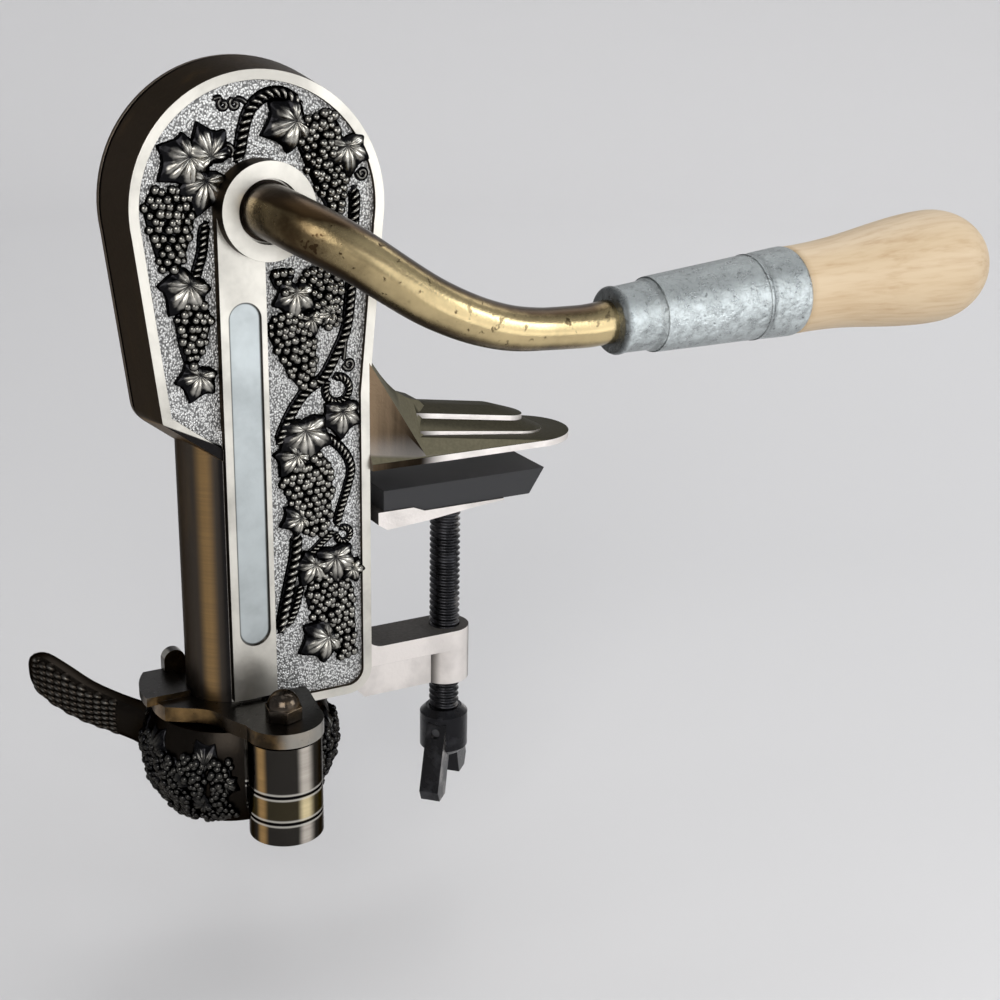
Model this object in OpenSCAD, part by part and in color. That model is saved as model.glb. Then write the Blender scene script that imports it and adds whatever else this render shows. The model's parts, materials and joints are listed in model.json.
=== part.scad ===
// Countertop lever corkscrew that clamps to the edge of a table.
// Origin: middle of the foot's underside, where it rests on the table top. +Z is up, +X points over
// the table, -Y is the ornamented side that carries the lever. Lengths are in millimetres.
// Most modules draw in the shaft frame, whose origin is the crank shaft's axis in the housing's mid plane.

/* [Place on the table] */
// Height of the crank shaft above the table top
shaft_h = 80; // [76:1:90]
// From the crank shaft to the middle of the foot
seat_x = 72; // [70:1:80]

/* [Housing] */
// Outer radius of the round head
head_r = 37.4; // [36:0.1:42]
// Outside diameter of the cork barrel, in line with the ornamented face
barrel_d = 28; // [27:0.5:32]
// Thickness of the rear cover
cover_t = 2.5; // [2.5:0.1:4]
// How far the sides flare outwards from the face to the back
draft = 2.7; // [0.5:0.1:3.5]
// Outer wall of the casting
wall = 3; // [2.5:0.1:4]
// Width of the raised rim round the ornament field
rim_w = 2.8; // [2:0.1:4]
// Depth of the ornament field below the rim
field_depth = 1.5; // [0.8:0.1:1.8]
// From the shaft to the back wall
back_x = 32.2; // [30:0.1:36]
// Height below the shaft at which the back edge becomes straight
waist_drop = 56; // [50:1:70]
// From the shaft forward to the shoulder corner
shoulder_x = 31; // [29:0.1:33]
// From the shaft down to the shoulder corner
shoulder_drop = 58.3; // [56:0.1:60]
// From the shaft down to the housing's lower edge
body_drop = 152.5; // [151:0.1:158]
// Radius of the lower back corner
corner_r = 8; // [4:0.5:10]
// Corner radius of the shoulder at the seam
shoulder_r = 8; // [3:0.5:10]
// Width and depth of the groove along the rear cover's seam
seam_gap = 0.6; // [0.3:0.1:0.9]
// From the shaft forward to the axis of the cork barrel
nose_x = 8.9; // [8:0.1:10]
// Wall of the cork barrel
nose_wall = 1.7; // [1.4:0.1:2.4]
// Radius of the collar round the lever's root
collar_r = 13.8; // [12:0.1:16]
// How far the collar stands proud of the rim
collar_proud = 6.7; // [5:0.1:9]
// Radius of the collar's mouth
mouth_r = 9; // [8.8:0.1:11]

/* [Upright bar on the front] */
// Width of the bar
bar_w = 13.7; // [10:0.1:16]
// How far the bar stands proud of the rim
bar_proud = 1.7; // [1:0.1:3]
// Width of the long round-ended recess
recess_w = 9.5; // [7:0.1:9.8]
// Depth of that recess
recess_depth = 0.8; // [0.4:0.1:1.5]
// From the shaft down to the recess's upper end
recess_top = 25.6; // [20:0.1:40]
// From the shaft down to the recess's lower end
recess_low = 129.3; // [110:0.1:138]

/* [Drive] */
// Gear module
gear_m = 1.5; // [1.45:0.01:1.52]
// Teeth on the drive gear
drive_teeth = 28; // [28:1:29]
// Teeth on the idler gear
idler_teeth = 28; // [28:1:29]
// Teeth on the rack pinion
pinion_teeth = 14; // [14:1:15]
// From the shaft down to the pinion's axle
pinion_drop = 70; // [68:0.5:71]
// Lever swing from rest to the end of the stroke, in degrees
lever_swing = 140; // [120:1:145]
// Play left between teeth at the pitch line
backlash = 0.3; // [0.2:0.05:0.5]
// Face width of the drive and idler gears
gear_w = 4; // [3:0.1:4.2]
// Radius of the crank shaft
shaft_r = 6; // [5:0.1:6.5]
// Radius of the idler's stub axle
idler_axle_r = 4; // [3:0.1:5]
// Radius of the pinion's axle
pinion_axle_r = 3.5; // [2.5:0.1:4]
// Radius of the spindle
spindle_r = 4; // [3.6:0.1:4.2]
// Height of the carriage block
carriage_h = 8; // [6:0.5:9]
// Thickness of the rack behind its teeth
rack_back = 3.5; // [3:0.1:4]
// Outside radius of the worm
worm_r = 5; // [4.5:0.1:5.5]
// Radius of the worm's wire
wire_r = 1.5; // [1.2:0.1:1.7]
// Rise of the worm in one turn
worm_pitch = 10; // [9:0.5:12]
// Turns of the worm
worm_turns = 4.6; // [4:0.1:4.8]

/* [Lever and grip] */
// Radius of the lever arm at its root
arm_root_r = 7.75; // [7:0.05:8.4]
// Radius of the lever arm at the ferrule
arm_tip_r = 6.5; // [5.8:0.1:7]
// How far the arm stands out from the housing's mid plane
arm_reach = 50; // [46:1:60]
// From the shaft out to the ferrule
grip_start_x = 92; // [86:1:100]
// From the shaft's level down to the ferrule's mouth
grip_start_drop = 32.8; // [30:0.1:36]
// Rise of the grip towards its end, in degrees
grip_tilt = 3.4; // [0:0.1:6]
// Length of the steel ferrule
ferrule_l = 65; // [60:1:75]
// Radius of the ferrule's crimped mouth
ferrule_mouth_r = 9.2; // [8.5:0.1:10]
// Radius of the ferrule where it meets the wood
ferrule_end_r = 13.75; // [12.5:0.05:15]
// Length of the wooden grip outside the ferrule
grip_l = 79; // [70:1:90]
// Largest radius of the wooden grip
grip_r = 18.2; // [16:0.1:20]

/* [Bottle jaws] */
// Thickness of the hinge plate
plate_t = 4.6; // [4:0.1:6]
// Radius of the hinge plate round the barrel
plate_r = 25; // [24:0.1:26]
// From the barrel's axis to the hinge, along X
hinge_dx = 5.2; // [4:0.1:8]
// From the barrel's axis to the hinge, along Y
hinge_dy = 29.8; // [29.5:0.1:33]
// Radius of the hinge knuckles
knuckle_r = 11.2; // [10.5:0.1:11.8]
// Radius of the hinge pin
hinge_pin_r = 4; // [3.6:0.1:5]
// Width of the hinge's acorn nut across its flats
nut_flats = 10; // [9:0.1:12]
// Radius of the space for the bottle's neck
neck_r = 15; // [14:0.1:15.6]
// Outer radius of the jaws at their fullest
jaw_r = 27; // [25:0.1:29]
// Height of the jaws
jaw_h = 31.5; // [30:0.5:36]
// Height of the upper knuckle
upper_knuckle = 15.4; // [12:0.1:16]
// Height of the middle knuckle
middle_knuckle = 8.4; // [7:0.1:10]
// How far the back jaw hangs open at rest, in degrees
back_jaw_open = 8; // [0:1:10]

/* [Table clamp] */
// From the shaft out to the clamp screw
screw_x = 65; // [60:0.5:68]
// Radius of the clamp screw
screw_r = 5; // [4:0.1:5.5]
// Half width of the foot
foot_half_w = 16; // [14:0.5:20]
// From the shaft out to the foot's tip
foot_tip_x = 108; // [100:1:115]
// Thickness of the foot's edge
foot_edge = 2; // [1.5:0.1:3]
// Table thickness held in the photographed state
table_gap = 8.4; // [8:0.1:20]
// Thickness of the pad
pad_t = 6.6; // [4:0.1:8]
// Thickness of the pressure plate's heel
heel_t = 6; // [5:0.1:8]
// Half width of the pressure plate
press_half_w = 12; // [9:0.5:14]
// Height of the clamp arm's top above the housing's lower edge
arm_rise = 11; // [9:0.1:14]
// Height of the boss that the clamp screw runs in
boss_h = 18.5; // [15:0.1:19]
// Half width of the clamp arm, which is the boss's radius too
boss_r = 8; // [7.5:0.1:10]
// Radius of the wing handle's hub
hub_r = 8; // [7:0.1:10]
// Thread left between the arm's boss and the wing's hub
hub_gap = 11; // [10:0.5:16]
// Length of the wing's blades below the top of its hub
wing_l = 29; // [24:0.5:34]

/* [Hidden] */
// Fits: running fit of a shaft, fit of a fixed piece, and gap between surfaces that pass each other
run_clear = 0.05;
fit_clear = 0.03;
pass_clear = 0.4;
$fn = 64;

// Planes across the housing
near_y = -barrel_d / 2;
floor_y = near_y + field_depth;
near_in_y = floor_y + 2.5;
seam_y = spindle_r + 0.7;
far_y = seam_y + cover_t;
seat_drop = shaft_h;

// Cork barrel
nose_r = barrel_d / 2;
bore_r = nose_r - nose_wall;
plate_drop = body_drop - 5;
plate_low = plate_drop + plate_t;
nose_top = shoulder_drop + 4;

// Gear train, seen from the near side: X to the right, Z up
drive_pr = gear_m * drive_teeth / 2;
idler_pr = gear_m * idler_teeth / 2;
pinion_pr = gear_m * pinion_teeth / 2;
addendum = 0.85 * gear_m;
rack_addendum = 0.75 * gear_m;
dedendum = 1.15 * gear_m;
tooth_pitch = PI * gear_m;
rack_gap = 0.5;
rack_back_x = -nose_x + spindle_r + rack_gap;
rack_x = rack_back_x + rack_back + dedendum;
pinion_x = rack_x + pinion_pr;
train_d = norm([pinion_x, pinion_drop]);
upper_d = drive_pr + idler_pr;
lower_d = idler_pr + pinion_pr;
along_d = (upper_d * upper_d - lower_d * lower_d + train_d * train_d) / (2 * train_d);
aside_d = sqrt(upper_d * upper_d - along_d * along_d);
train_u = [pinion_x, -pinion_drop] / train_d;
idler_at = along_d * train_u + aside_d * [train_u[1], -train_u[0]];
pinion_at = [pinion_x, -pinion_drop];
upper_dir = atan2(idler_at[1], idler_at[0]);
lower_dir = atan2(pinion_at[1] - idler_at[1], pinion_at[0] - idler_at[0]);
drive_turn = upper_dir;
idler_turn = upper_dir + 180 + 180 / idler_teeth;
pinion_turn = lower_dir + 180 + (lower_dir - idler_turn) * idler_teeth / pinion_teeth + 180 / pinion_teeth;
rack_phase = (180 - pinion_turn) * PI / 180 * pinion_pr - pinion_drop;
stroke = drive_pr * lever_swing * PI / 180;
gear_near = near_in_y + 0.5;
gear_far = gear_near + gear_w;

// Carriage, rack and spindle at rest
rack_near = gear_far + 1.5;
rack_far = spindle_r - 0.5;
rack_top = -pinion_drop + tooth_pitch + stroke;
rack_low = -pinion_drop - 1.5 * tooth_pitch;
carriage_low = rack_top - carriage_h;
neck_spindle_r = spindle_r - 1;
nut_top = pinion_drop + 10;
nut_h = 8;
tip_drop = plate_drop - 1.5;
worm_top = tip_drop - worm_turns * worm_pitch;
spindle_low = worm_top - wire_r - 0.3;

// Screws of the rear cover
cover_screw_r = 1.5;
cover_screw_l = 10;
cover_boss_r = 3.4;
head_screw_r = head_r - wall - 3;
cover_screws_at = [
    [head_screw_r * cos(50), head_screw_r * sin(50)],
    [head_screw_r * cos(130), head_screw_r * sin(130)],
    [-shoulder_x + wall + 2, -shoulder_drop + 4],
    [back_x - wall - 2, -pinion_drop - 22],
    [back_x - wall - 3, -body_drop + 9]
];

// Jaw hinge
hinge_at = [-nose_x + hinge_dx, -hinge_dy];
hinge_l = norm([hinge_dx, hinge_dy]);
hinge_dir = atan2(hinge_dx, hinge_dy);
jaw_top = -max(plate_low, body_drop) - pass_clear;
jaw_low = jaw_top - jaw_h;
knuckle_gap = 0.3;
middle_top = jaw_top - upper_knuckle - knuckle_gap;
lower_top = middle_top - middle_knuckle - knuckle_gap;
pin_head_r = hinge_pin_r + 3;
nut_bore_r = 0.3 * nut_flats;
pin_head_h = 2.5;
plate_screw_r = 2;
plate_screws_at = [[-nose_x + bore_r + 2.6, near_y + 5.5], [-nose_x + bore_r + 6, 0]];

// Clamp
pad_top = -seat_drop - table_gap;
press_top = pad_top - pad_t;
press_low = press_top - heel_t;
press_near_x = back_x + 3.6;
press_far_x = screw_x + 15;
pad_far_x = screw_x + 24.6;
pad_lean = 5.4;
heel_l = 12;
heel_step = 1.6;
swivel_r = screw_r - 1.5;
swivel_h = 5;
swivel_seat = press_low + heel_t / 2;
swivel_boss_r = screw_r + 2;
hub_h = 14;
arm_drop = body_drop - arm_rise;
hub_drop = arm_drop + boss_h + hub_gap;
wing_drop = hub_drop + wing_l;
wing_turn = 45;
wing_pin_r = 1.5;
swivel_pin_r = 1;

// Colours of the finishes
pewter = [0.66, 0.64, 0.60];
bronze = [0.30, 0.22, 0.14];
brass = [0.62, 0.49, 0.28];
dark_bronze = [0.16, 0.14, 0.12];
black_oxide = [0.08, 0.08, 0.09];
steel = [0.70, 0.71, 0.72];
galvanised = [0.62, 0.66, 0.68];
birch = [0.84, 0.70, 0.52];
rubber = [0.06, 0.06, 0.07];

// Puts the shaft frame where it stands on the table
module at_shaft() {
    translate([-seat_x, 0, shaft_h]) children();
}

// Extrudes an outline drawn in X and Z across the housing, from y0 to y1
module across(y0, y1) {
    translate([0, y1, 0]) rotate([90, 0, 0]) linear_extrude(y1 - y0) children();
}

// Round bar along Y at a point in X and Z
module rod_y(at, y0, y1, r) {
    translate([at[0], y1, at[1]]) rotate([90, 0, 0]) cylinder(r = r, h = y1 - y0);
}

// Round bar along Z at a point in X and Y
module rod_z(at, z0, z1, r) {
    translate([at[0], at[1], z0]) cylinder(r = r, h = z1 - z0);
}

// Corners of an outline moved inwards by d, for corners listed anticlockwise
function inset_corners(p, d) = [for (i = [0 : len(p) - 1]) let (
    a = p[(i + len(p) - 1) % len(p)], b = p[i], c = p[(i + 1) % len(p)],
    u = (b - a) / norm(b - a), v = (c - b) / norm(c - b),
    m = [-u[1], u[0]], n = [-v[1], v[0]]) b + d * (m + n) / (1 + m * n)];

// Touching point on the head of a straight side that starts at corner p; side is 1 behind, -1 in front
function head_touch(p, side, r) = let (a = atan2(p[1], p[0]) + side * acos(r / norm(p)))
    r * [cos(a), sin(a)];

// Straight-sided part of the housing's outline
shoulder = [-shoulder_x, -shoulder_drop];
waist = [back_x, -waist_drop];
slope_end = [-nose_x, -shoulder_drop - (shoulder_x - nose_x) * 0.75];
// They run in to a circle just inside the head's, so that they cross its edge cleanly
side_r = head_r - 0.05;
body_corners = [slope_end, [-nose_x, -body_drop], [back_x, -body_drop], waist, head_touch(waist, 1, side_r),
    head_touch(shoulder, -1, side_r), shoulder];
// The same corners moved outwards by e, except at the back wall and the lower edge
function flared_corners(e) = let (o = inset_corners(body_corners, -e),
    top = body_corners[5] * (side_r + e) / side_r)
    concat([o[0], body_corners[1], body_corners[2], waist, head_touch(waist, 1, side_r + e), top],
        corner_arc(top, o[6], o[0], 1 + (shoulder_r - 1) * e / draft));
// Arc of radius r in place of the corner p between its neighbours a and b
arc_steps = 6;
function corner_arc(a, p, b, r) = let (u = unit(a - p), v = unit(b - p), half = acos(u * v) / 2,
    middle = p + unit(u + v) * r / sin(half), from = atan2(u[0], -u[1]), sweep = 180 - 2 * half)
    [for (k = [0 : arc_steps]) let (a = from + sweep * k / arc_steps) middle + r * [cos(a), sin(a)]];
function flare_at(y) = draft * (y - near_y) / (seam_y - near_y);

module body_outline(d = 0) {
    difference() {
        union() {
            circle(r = head_r - d);
            polygon(inset_corners(body_corners, d));
        }
        translate([back_x - corner_r, -body_drop + corner_r]) difference() {
            translate([0, -corner_r - 1]) square(corner_r + 1);
            circle(r = corner_r - d);
        }
    }
}

// Outline of the rear cover, which carries on from the flared sides, drawn in by d
module cover_outline(d = 0) {
    difference() {
        union() {
            circle(r = head_r + draft - d);
            polygon(flared_corners(draft - d));
        }
        translate([back_x - corner_r, -body_drop + corner_r]) difference() {
            translate([0, -corner_r - 1]) square(corner_r + 1);
            circle(r = corner_r);
        }
    }
}

// Slice of the housing between two planes across it, with its flared sides
module body_slice(y0, y1) {
    e0 = flare_at(y0);
    e1 = flare_at(y1);
    difference() {
        union() {
            translate([0, y1, 0]) rotate([90, 0, 0])
                cylinder(r1 = head_r + e1, r2 = head_r + e0, h = y1 - y0);
            tube_solid([for (y = [y0, y1]) [for (p = flared_corners(flare_at(y))) [p[0], y, p[1]]]]);
        }
        translate([back_x - corner_r, 0, -body_drop + corner_r]) difference() {
            translate([0, y0 - 1, -corner_r - 1]) cube([corner_r + 1, y1 - y0 + 2, corner_r + 1]);
            rod_y([0, 0], y0 - 2, y1 + 2, corner_r);
        }
    }
}

// Space for the gear train: the housing's outline inside its wall, down to just below the pinion
module train_space() {
    intersection() {
        body_outline(wall);
        translate([-2 * head_r, -nut_top - 7]) square([4 * head_r, 3 * head_r + nut_top]);
    }
}

// The hinge plate's outline: disc round the barrel, straight at the front left, and a lobe round the hinge
lobe_r = knuckle_r + 0.6;
plate_side_x = -nose_x + sqrt(plate_r * plate_r - near_y * near_y) - 1.6;
front_left = [-nose_x - 0.87 * plate_r, -0.35 * plate_r];
front_turn = [-nose_x - 0.48 * plate_r, near_y - 1.2];

module plate_disc(c = 0) {
    slope = (front_turn - front_left) * 4;
    intersection() {
        translate([-nose_x, 0]) circle(r = plate_r + c);
        union() {
            translate([-3 * plate_r, near_in_y - c]) square(6 * plate_r);
            translate([plate_side_x + c - 6 * plate_r, -3 * plate_r]) square(6 * plate_r);
        }
        polygon([front_left - slope, front_left + slope, [4 * plate_r, 0], [0, 4 * plate_r],
            [-4 * plate_r, 4 * plate_r]]);
    }
}

module plate_outline() {
    lobe_left = [hinge_at[0] - lobe_r, hinge_at[1]];
    neck = 0.35 * front_turn + 0.65 * lobe_left - [0.9, 0];
    plate_disc();
    translate(hinge_at) circle(r = lobe_r);
    polygon([[-nose_x, 0], front_turn + [0.1, 0.1], neck, lobe_left, hinge_at,
        [hinge_at[0] + lobe_r, hinge_at[1]], [plate_side_x, near_y - 1], [plate_side_x, near_in_y]]);
}

// Housing

module name_bar() {
    low = plate_drop - 1;
    across(near_y - bar_proud, floor_y + 1) translate([-bar_w, -low]) square([bar_w, low]);
}

module bar_recess() {
    y = near_y - bar_proud + recess_depth;
    r = recess_w / 2;
    x = -bar_w / 2 + 0.4;
    across(near_y - bar_proud - 1, y) {
        translate([x - r, -recess_low + r]) square([recess_w, recess_low - recess_top - 2 * r]);
        translate([x, -recess_top - r]) circle(r = r);
        translate([x, -recess_low + r]) circle(r = r);
    }
}

module main_housing() {
    color(pewter) at_shaft() difference() {
        union() {
            difference() {
                union() {
                    difference() {
                        body_slice(near_y, seam_y);
                        across(near_y - 1, floor_y) body_outline(rim_w);
                    }
                    rod_z([-nose_x, 0], -plate_drop, -nose_top, nose_r);
                }
                across(near_in_y, far_y + 1) train_space();
                translate([-nose_x + bore_r + wall, near_in_y, -body_drop + 16])
                    cube([back_x + nose_x - bore_r - 2 * wall, 2 * nose_r, body_drop - nut_top - 27]);
            }
            name_bar();
            rod_y([0, 0], near_y - collar_proud, floor_y + 1, collar_r);
            for (p = cover_screws_at) rod_y(p, near_in_y - 0.5, seam_y, cover_boss_r);
        }
        bar_recess();
        rod_z([-nose_x, 0], -body_drop - 1, -nut_top, bore_r);
        rod_z([-nose_x, 0], -nut_top - 1, -nose_top - 2, bore_r - 1.3);
        translate([0, 0, -plate_drop - 10]) linear_extrude(10) plate_disc(fit_clear);
        rod_y([0, 0], near_y - collar_proud - 1, near_y - collar_proud + 2, mouth_r);
        rod_y([0, 0], near_y - collar_proud, near_in_y + 1, shaft_r + 2.5);
        rod_y(pinion_at, near_in_y - 1.5, near_in_y + 1, pinion_axle_r + fit_clear);
        rod_y(idler_at, near_in_y - 1.8, near_in_y + 1, idler_axle_r + fit_clear);
        for (p = cover_screws_at) rod_y(p, seam_y - cover_screw_l, seam_y + 1, cover_screw_r + fit_clear);
        for (p = plate_screws_at) rod_z(p, -plate_drop - 1, -plate_drop + 8, plate_screw_r + fit_clear);
    }
}

// Foot on the table: thin edge, two raised steps and a hollow sweep up to the back wall
module foot_outline(d) {
    r = foot_half_w - d;
    x0 = back_x;
    x1 = foot_tip_x - foot_half_w;
    translate([x0, -r]) square([x1 - x0, 2 * r]);
    translate([x1, 0]) circle(r = r);
}

// The foot's outline drawn in d at its sides and 2 d at its tip
module foot_ledge(d) {
    r = foot_half_w - d;
    x1 = foot_tip_x - foot_half_w - d;
    translate([back_x, -r]) square([x1 - back_x, 2 * r]);
    translate([x1, 0]) circle(r = r);
}

// Thin layer of that outline, z below the shaft at the back wall and falling towards the tip
module foot_layer(d, z, fall) {
    translate([back_x, 0, -z]) rotate([0, fall, 0]) translate([-back_x, 0, -0.1])
        linear_extrude(0.1) foot_ledge(d);
}

// Sections of the sweep between the foot and the back wall: a crown in the middle and sides that run out
// to a sharp edge
sweep_l = 26;
function sweep_section(t) = let (x = back_x + sweep_l * t,
    crown = -seat_drop + 16.5 + 19 * pow(1 - t, 2.2) - (t > 0.8 ? 20 * (t - 0.8) : 0),
    edge = max(-seat_drop + 0.5, -seat_drop + 33 - 44 * t),
    out = t < 0.7 ? nose_r + 1.5 * t / 0.7 : nose_r + 1.5 - 9 * (t - 0.7),
    top = 12 - 9 * t, far = min(out, far_y + 11 * t), far_top = min(top, far - 1.5))
    [[x, -out, edge], [x, -top, crown], [x, far_top, crown], [x, far, edge], [x, far, -seat_drop],
        [x, -out, -seat_drop]];

// Section at y of the housing's flared side above the waist, which the foot ends against
function flared_side(y, at = undef) = let (top = head_touch(waist, 1, side_r + flare_at(y)))
    [for (p = [[0, -waist_drop], waist, top, [0, top[1]]]) [p[0], is_undef(at) ? y : at, p[1]]];

module table_foot() {
    step = 1.6;
    middle_d = 4.6;
    upper_d = 8;
    middle_z = seat_drop - 11.4;
    upper_z = seat_drop - 16.6;
    middle_fall = 7.1;
    upper_fall = 8.1;
    sections = 10;
    color(pewter) at_shaft() difference() {
        union() {
            translate([0, 0, -seat_drop]) linear_extrude(foot_edge) foot_outline(0);
            hull() {
                translate([0, 0, -seat_drop + foot_edge - 0.1]) linear_extrude(0.1) foot_outline(0.3);
                foot_layer(middle_d, middle_z + step, middle_fall);
            }
            hull() {
                foot_layer(middle_d, middle_z + step, middle_fall);
                foot_layer(middle_d, middle_z, middle_fall);
                foot_layer(upper_d, upper_z + step, upper_fall);
            }
            hull() {
                foot_layer(upper_d, upper_z + step, upper_fall);
                foot_layer(upper_d, upper_z, upper_fall);
                foot_layer(upper_d + 5, upper_z - 2, upper_fall);
            }
            tube_solid([for (i = [0 : sections]) sweep_section(i / sections)]);
        }
        tube_solid([for (y = [near_y, seam_y]) flared_side(y)]);
        tube_solid([for (y = [seam_y - 0.01, far_y + 8]) flared_side(seam_y, y)]);
    }
}

// Arm that carries the clamp screw: top flange, web below it and the boss at its end
module clamp_arm() {
    flange_t = 6.5;
    web_half = boss_r / 2;
    fillet = 7;
    color(pewter) at_shaft() difference() {
        union() {
            translate([back_x, -boss_r, -arm_drop - flange_t])
                cube([screw_x - back_x, 2 * boss_r, flange_t]);
            rod_z([screw_x, 0], -arm_drop - boss_h, -arm_drop, boss_r);
            across(-web_half, web_half) polygon([
                [back_x, -arm_drop - 1], [screw_x - boss_r / 2, -arm_drop - 1],
                [screw_x - boss_r / 2, -arm_drop - boss_h], [back_x + 2, -arm_drop - boss_h],
                [back_x - 5, -body_drop], [back_x, -body_drop]]);
            across(-boss_r, boss_r) difference() {
                translate([back_x, -arm_drop - 1]) square([fillet, fillet + 1]);
                translate([back_x + fillet, -arm_drop + fillet]) circle(r = fillet);
            }
        }
        rod_z([screw_x, 0], -arm_drop - boss_h - 1, -arm_drop + 1, screw_r + run_clear);
    }
}

module rear_cover() {
    axle_depth = cover_t - 0.8;
    color(bronze) at_shaft() difference() {
        union() {
            across(seam_y + seam_gap, far_y) cover_outline();
            across(seam_y, far_y - 0.5) cover_outline(seam_gap);
        }
        rod_z([-nose_x, 0], -body_drop - 1, -nose_top + fit_clear, nose_r + fit_clear);
        rod_z([-nose_x, 0], -plate_drop - 10, -plate_drop, plate_r + fit_clear);
        rod_y([0, 0], seam_y - 1, seam_y + axle_depth, shaft_r + 2);
        rod_y(pinion_at, seam_y - 1, seam_y + axle_depth, pinion_axle_r + fit_clear);
        for (p = cover_screws_at) {
            rod_y(p, seam_y - 1, far_y + 1, cover_screw_r + 0.2);
            translate([p[0], far_y, p[1]]) rotate([90, 0, 0])
                cylinder(r1 = 2 * cover_screw_r + 0.1, r2 = cover_screw_r + 0.1, h = cover_screw_r);
        }
    }
}

module cover_screws() {
    color(black_oxide) at_shaft() for (p = cover_screws_at) {
        rod_y(p, seam_y - cover_screw_l + 1, far_y - cover_screw_r + 0.1, cover_screw_r);
        translate([p[0], far_y, p[1]]) rotate([90, 0, 0])
            cylinder(r1 = 2 * cover_screw_r, r2 = cover_screw_r, h = cover_screw_r);
    }
}

module shaft_bush() {
    color(brass) at_shaft() difference() {
        rod_y([0, 0], near_y - collar_proud + 2, near_in_y, shaft_r + 2.5 - fit_clear);
        rod_y([0, 0], near_y - collar_proud, near_in_y + 1, shaft_r + run_clear);
    }
}

module cover_bush() {
    color(brass) at_shaft() difference() {
        rod_y([0, 0], seam_y, seam_y + cover_t - 0.8, shaft_r + 2 - fit_clear);
        rod_y([0, 0], seam_y - 1, seam_y + cover_t, shaft_r + run_clear);
    }
}

module idler_axle() {
    color(steel) at_shaft() {
        rod_y(idler_at, near_in_y - 1.7, gear_far + 0.9, idler_axle_r);
        rod_y(idler_at, gear_far + 0.3, gear_far + 0.9, idler_axle_r + 2);
    }
}

module pinion_axle() {
    color(steel) at_shaft() rod_y(pinion_at, near_in_y - 1.4, seam_y + cover_t - 0.9, pinion_axle_r);
}

// Fixed nut at the head of the barrel that the spindle turns through, cut back for the rack and pinion
module spindle_nut() {
    color(brass) at_shaft() difference() {
        rod_z([-nose_x, 0], -nut_top - nut_h, -nut_top, bore_r - fit_clear);
        rod_z([-nose_x, 0], -nut_top - nut_h - 1, -nut_top + 1, spindle_r + run_clear);
        translate([rack_back_x - pass_clear / 2, -bore_r, -nut_top - nut_h - 1])
            cube([2 * bore_r, 2 * bore_r, nut_h + 2]);
    }
}

// Crank, lever and grip

module crank_shaft() {
    color(steel) at_shaft() difference() {
        rod_y([0, 0], near_y - collar_proud - 5, seam_y + cover_t - 1, shaft_r);
        rod_z([0, near_y - collar_proud - 2], -shaft_r - 1, shaft_r + 1, root_pin_r + fit_clear);
        across(gear_near, gear_far) translate([shaft_r - 1.5, -1.5]) square([4, 3]);
    }
}

module shaft_clip() {
    color(black_oxide) at_shaft() difference() {
        rod_y([0, 0], gear_far + 0.1, gear_far + 1.1, shaft_r + 2.5);
        rod_y([0, 0], gear_far, gear_far + 2, shaft_r + fit_clear);
    }
}

// Involute gear outline with a tooth centred on the X axis
function involute(a) = tan(a) - a * PI / 180;
function tooth_half(r, pr) = let (base = pr * cos(20))
    ((tooth_pitch / 2 - backlash) / (2 * pr) + involute(20)
        - (r > base ? involute(acos(base / r)) : 0)) * 180 / PI;
function tooth_side(pr, tip) = let (base = pr * cos(20), low = max(base, pr - dedendum))
    concat([pr - dedendum], [for (k = [0 : 4]) low + (tip - low) * k / 4]);
function gear_corners(teeth) =
    let (pr = gear_m * teeth / 2, rs = tooth_side(pr, pr + addendum), n = len(rs))
    [for (i = [0 : teeth - 1]) for (j = [0 : 2 * n - 1])
        let (up = j < n, r = up ? rs[j] : rs[2 * n - 1 - j],
        a = i * 360 / teeth + (up ? -1 : 1) * tooth_half(r, pr)) r * [cos(a), sin(a)]];

module gear(teeth, at, turn, y0, y1) {
    translate([at[0], 0, at[1]]) across(y0, y1) rotate(turn) polygon(gear_corners(teeth));
}

module drive_gear() {
    color(steel) at_shaft() difference() {
        gear(drive_teeth, [0, 0], drive_turn, gear_near, gear_far);
        rod_y([0, 0], gear_near - 1, gear_far + 1, shaft_r + fit_clear);
        across(gear_near - 1, gear_far + 1) translate([0, -1.5 - fit_clear])
            square([shaft_r + 1.5 + fit_clear, 3 + 2 * fit_clear]);
    }
}

module gear_key() {
    color(steel) at_shaft() across(gear_near + 0.1, gear_far - 0.1)
        translate([shaft_r - 1.5 + fit_clear, -1.5 + fit_clear]) square(3 - 2 * fit_clear);
}

module idler_gear() {
    color(steel) at_shaft() difference() {
        gear(idler_teeth, idler_at, idler_turn, gear_near, gear_far);
        rod_y(idler_at, gear_near - 1, gear_far + 1, idler_axle_r + run_clear);
        for (a = [0 : 60 : 300]) rod_y(idler_at + 13 * [cos(a), sin(a)], gear_near - 1, gear_far + 1, 3.2);
    }
}

module rack_pinion() {
    color(steel) at_shaft() difference() {
        gear(pinion_teeth, pinion_at, pinion_turn, gear_near, rack_far);
        rod_y(pinion_at, near_in_y, rack_far + 1, pinion_axle_r + run_clear);
    }
}

// Centre line of the lever arm: straight out of the collar, then down and over to the grip
grip_from = [grip_start_x, -arm_reach, -grip_start_drop];
grip_way = [cos(grip_tilt), 0, sin(grip_tilt)];
root_y = near_y - collar_proud + 1.7;
arm_points = [
    [0, root_y - 7, 0],
    [4, -0.72 * arm_reach, -2.6],
    [15, -0.84 * arm_reach, -9.1],
    [37, -0.96 * arm_reach, -0.72 * grip_start_drop],
    [58, -arm_reach, -0.96 * grip_start_drop],
    grip_from - 11 * grip_way,
    grip_from + 2 * grip_way
];
arm_steps = 5;
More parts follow.
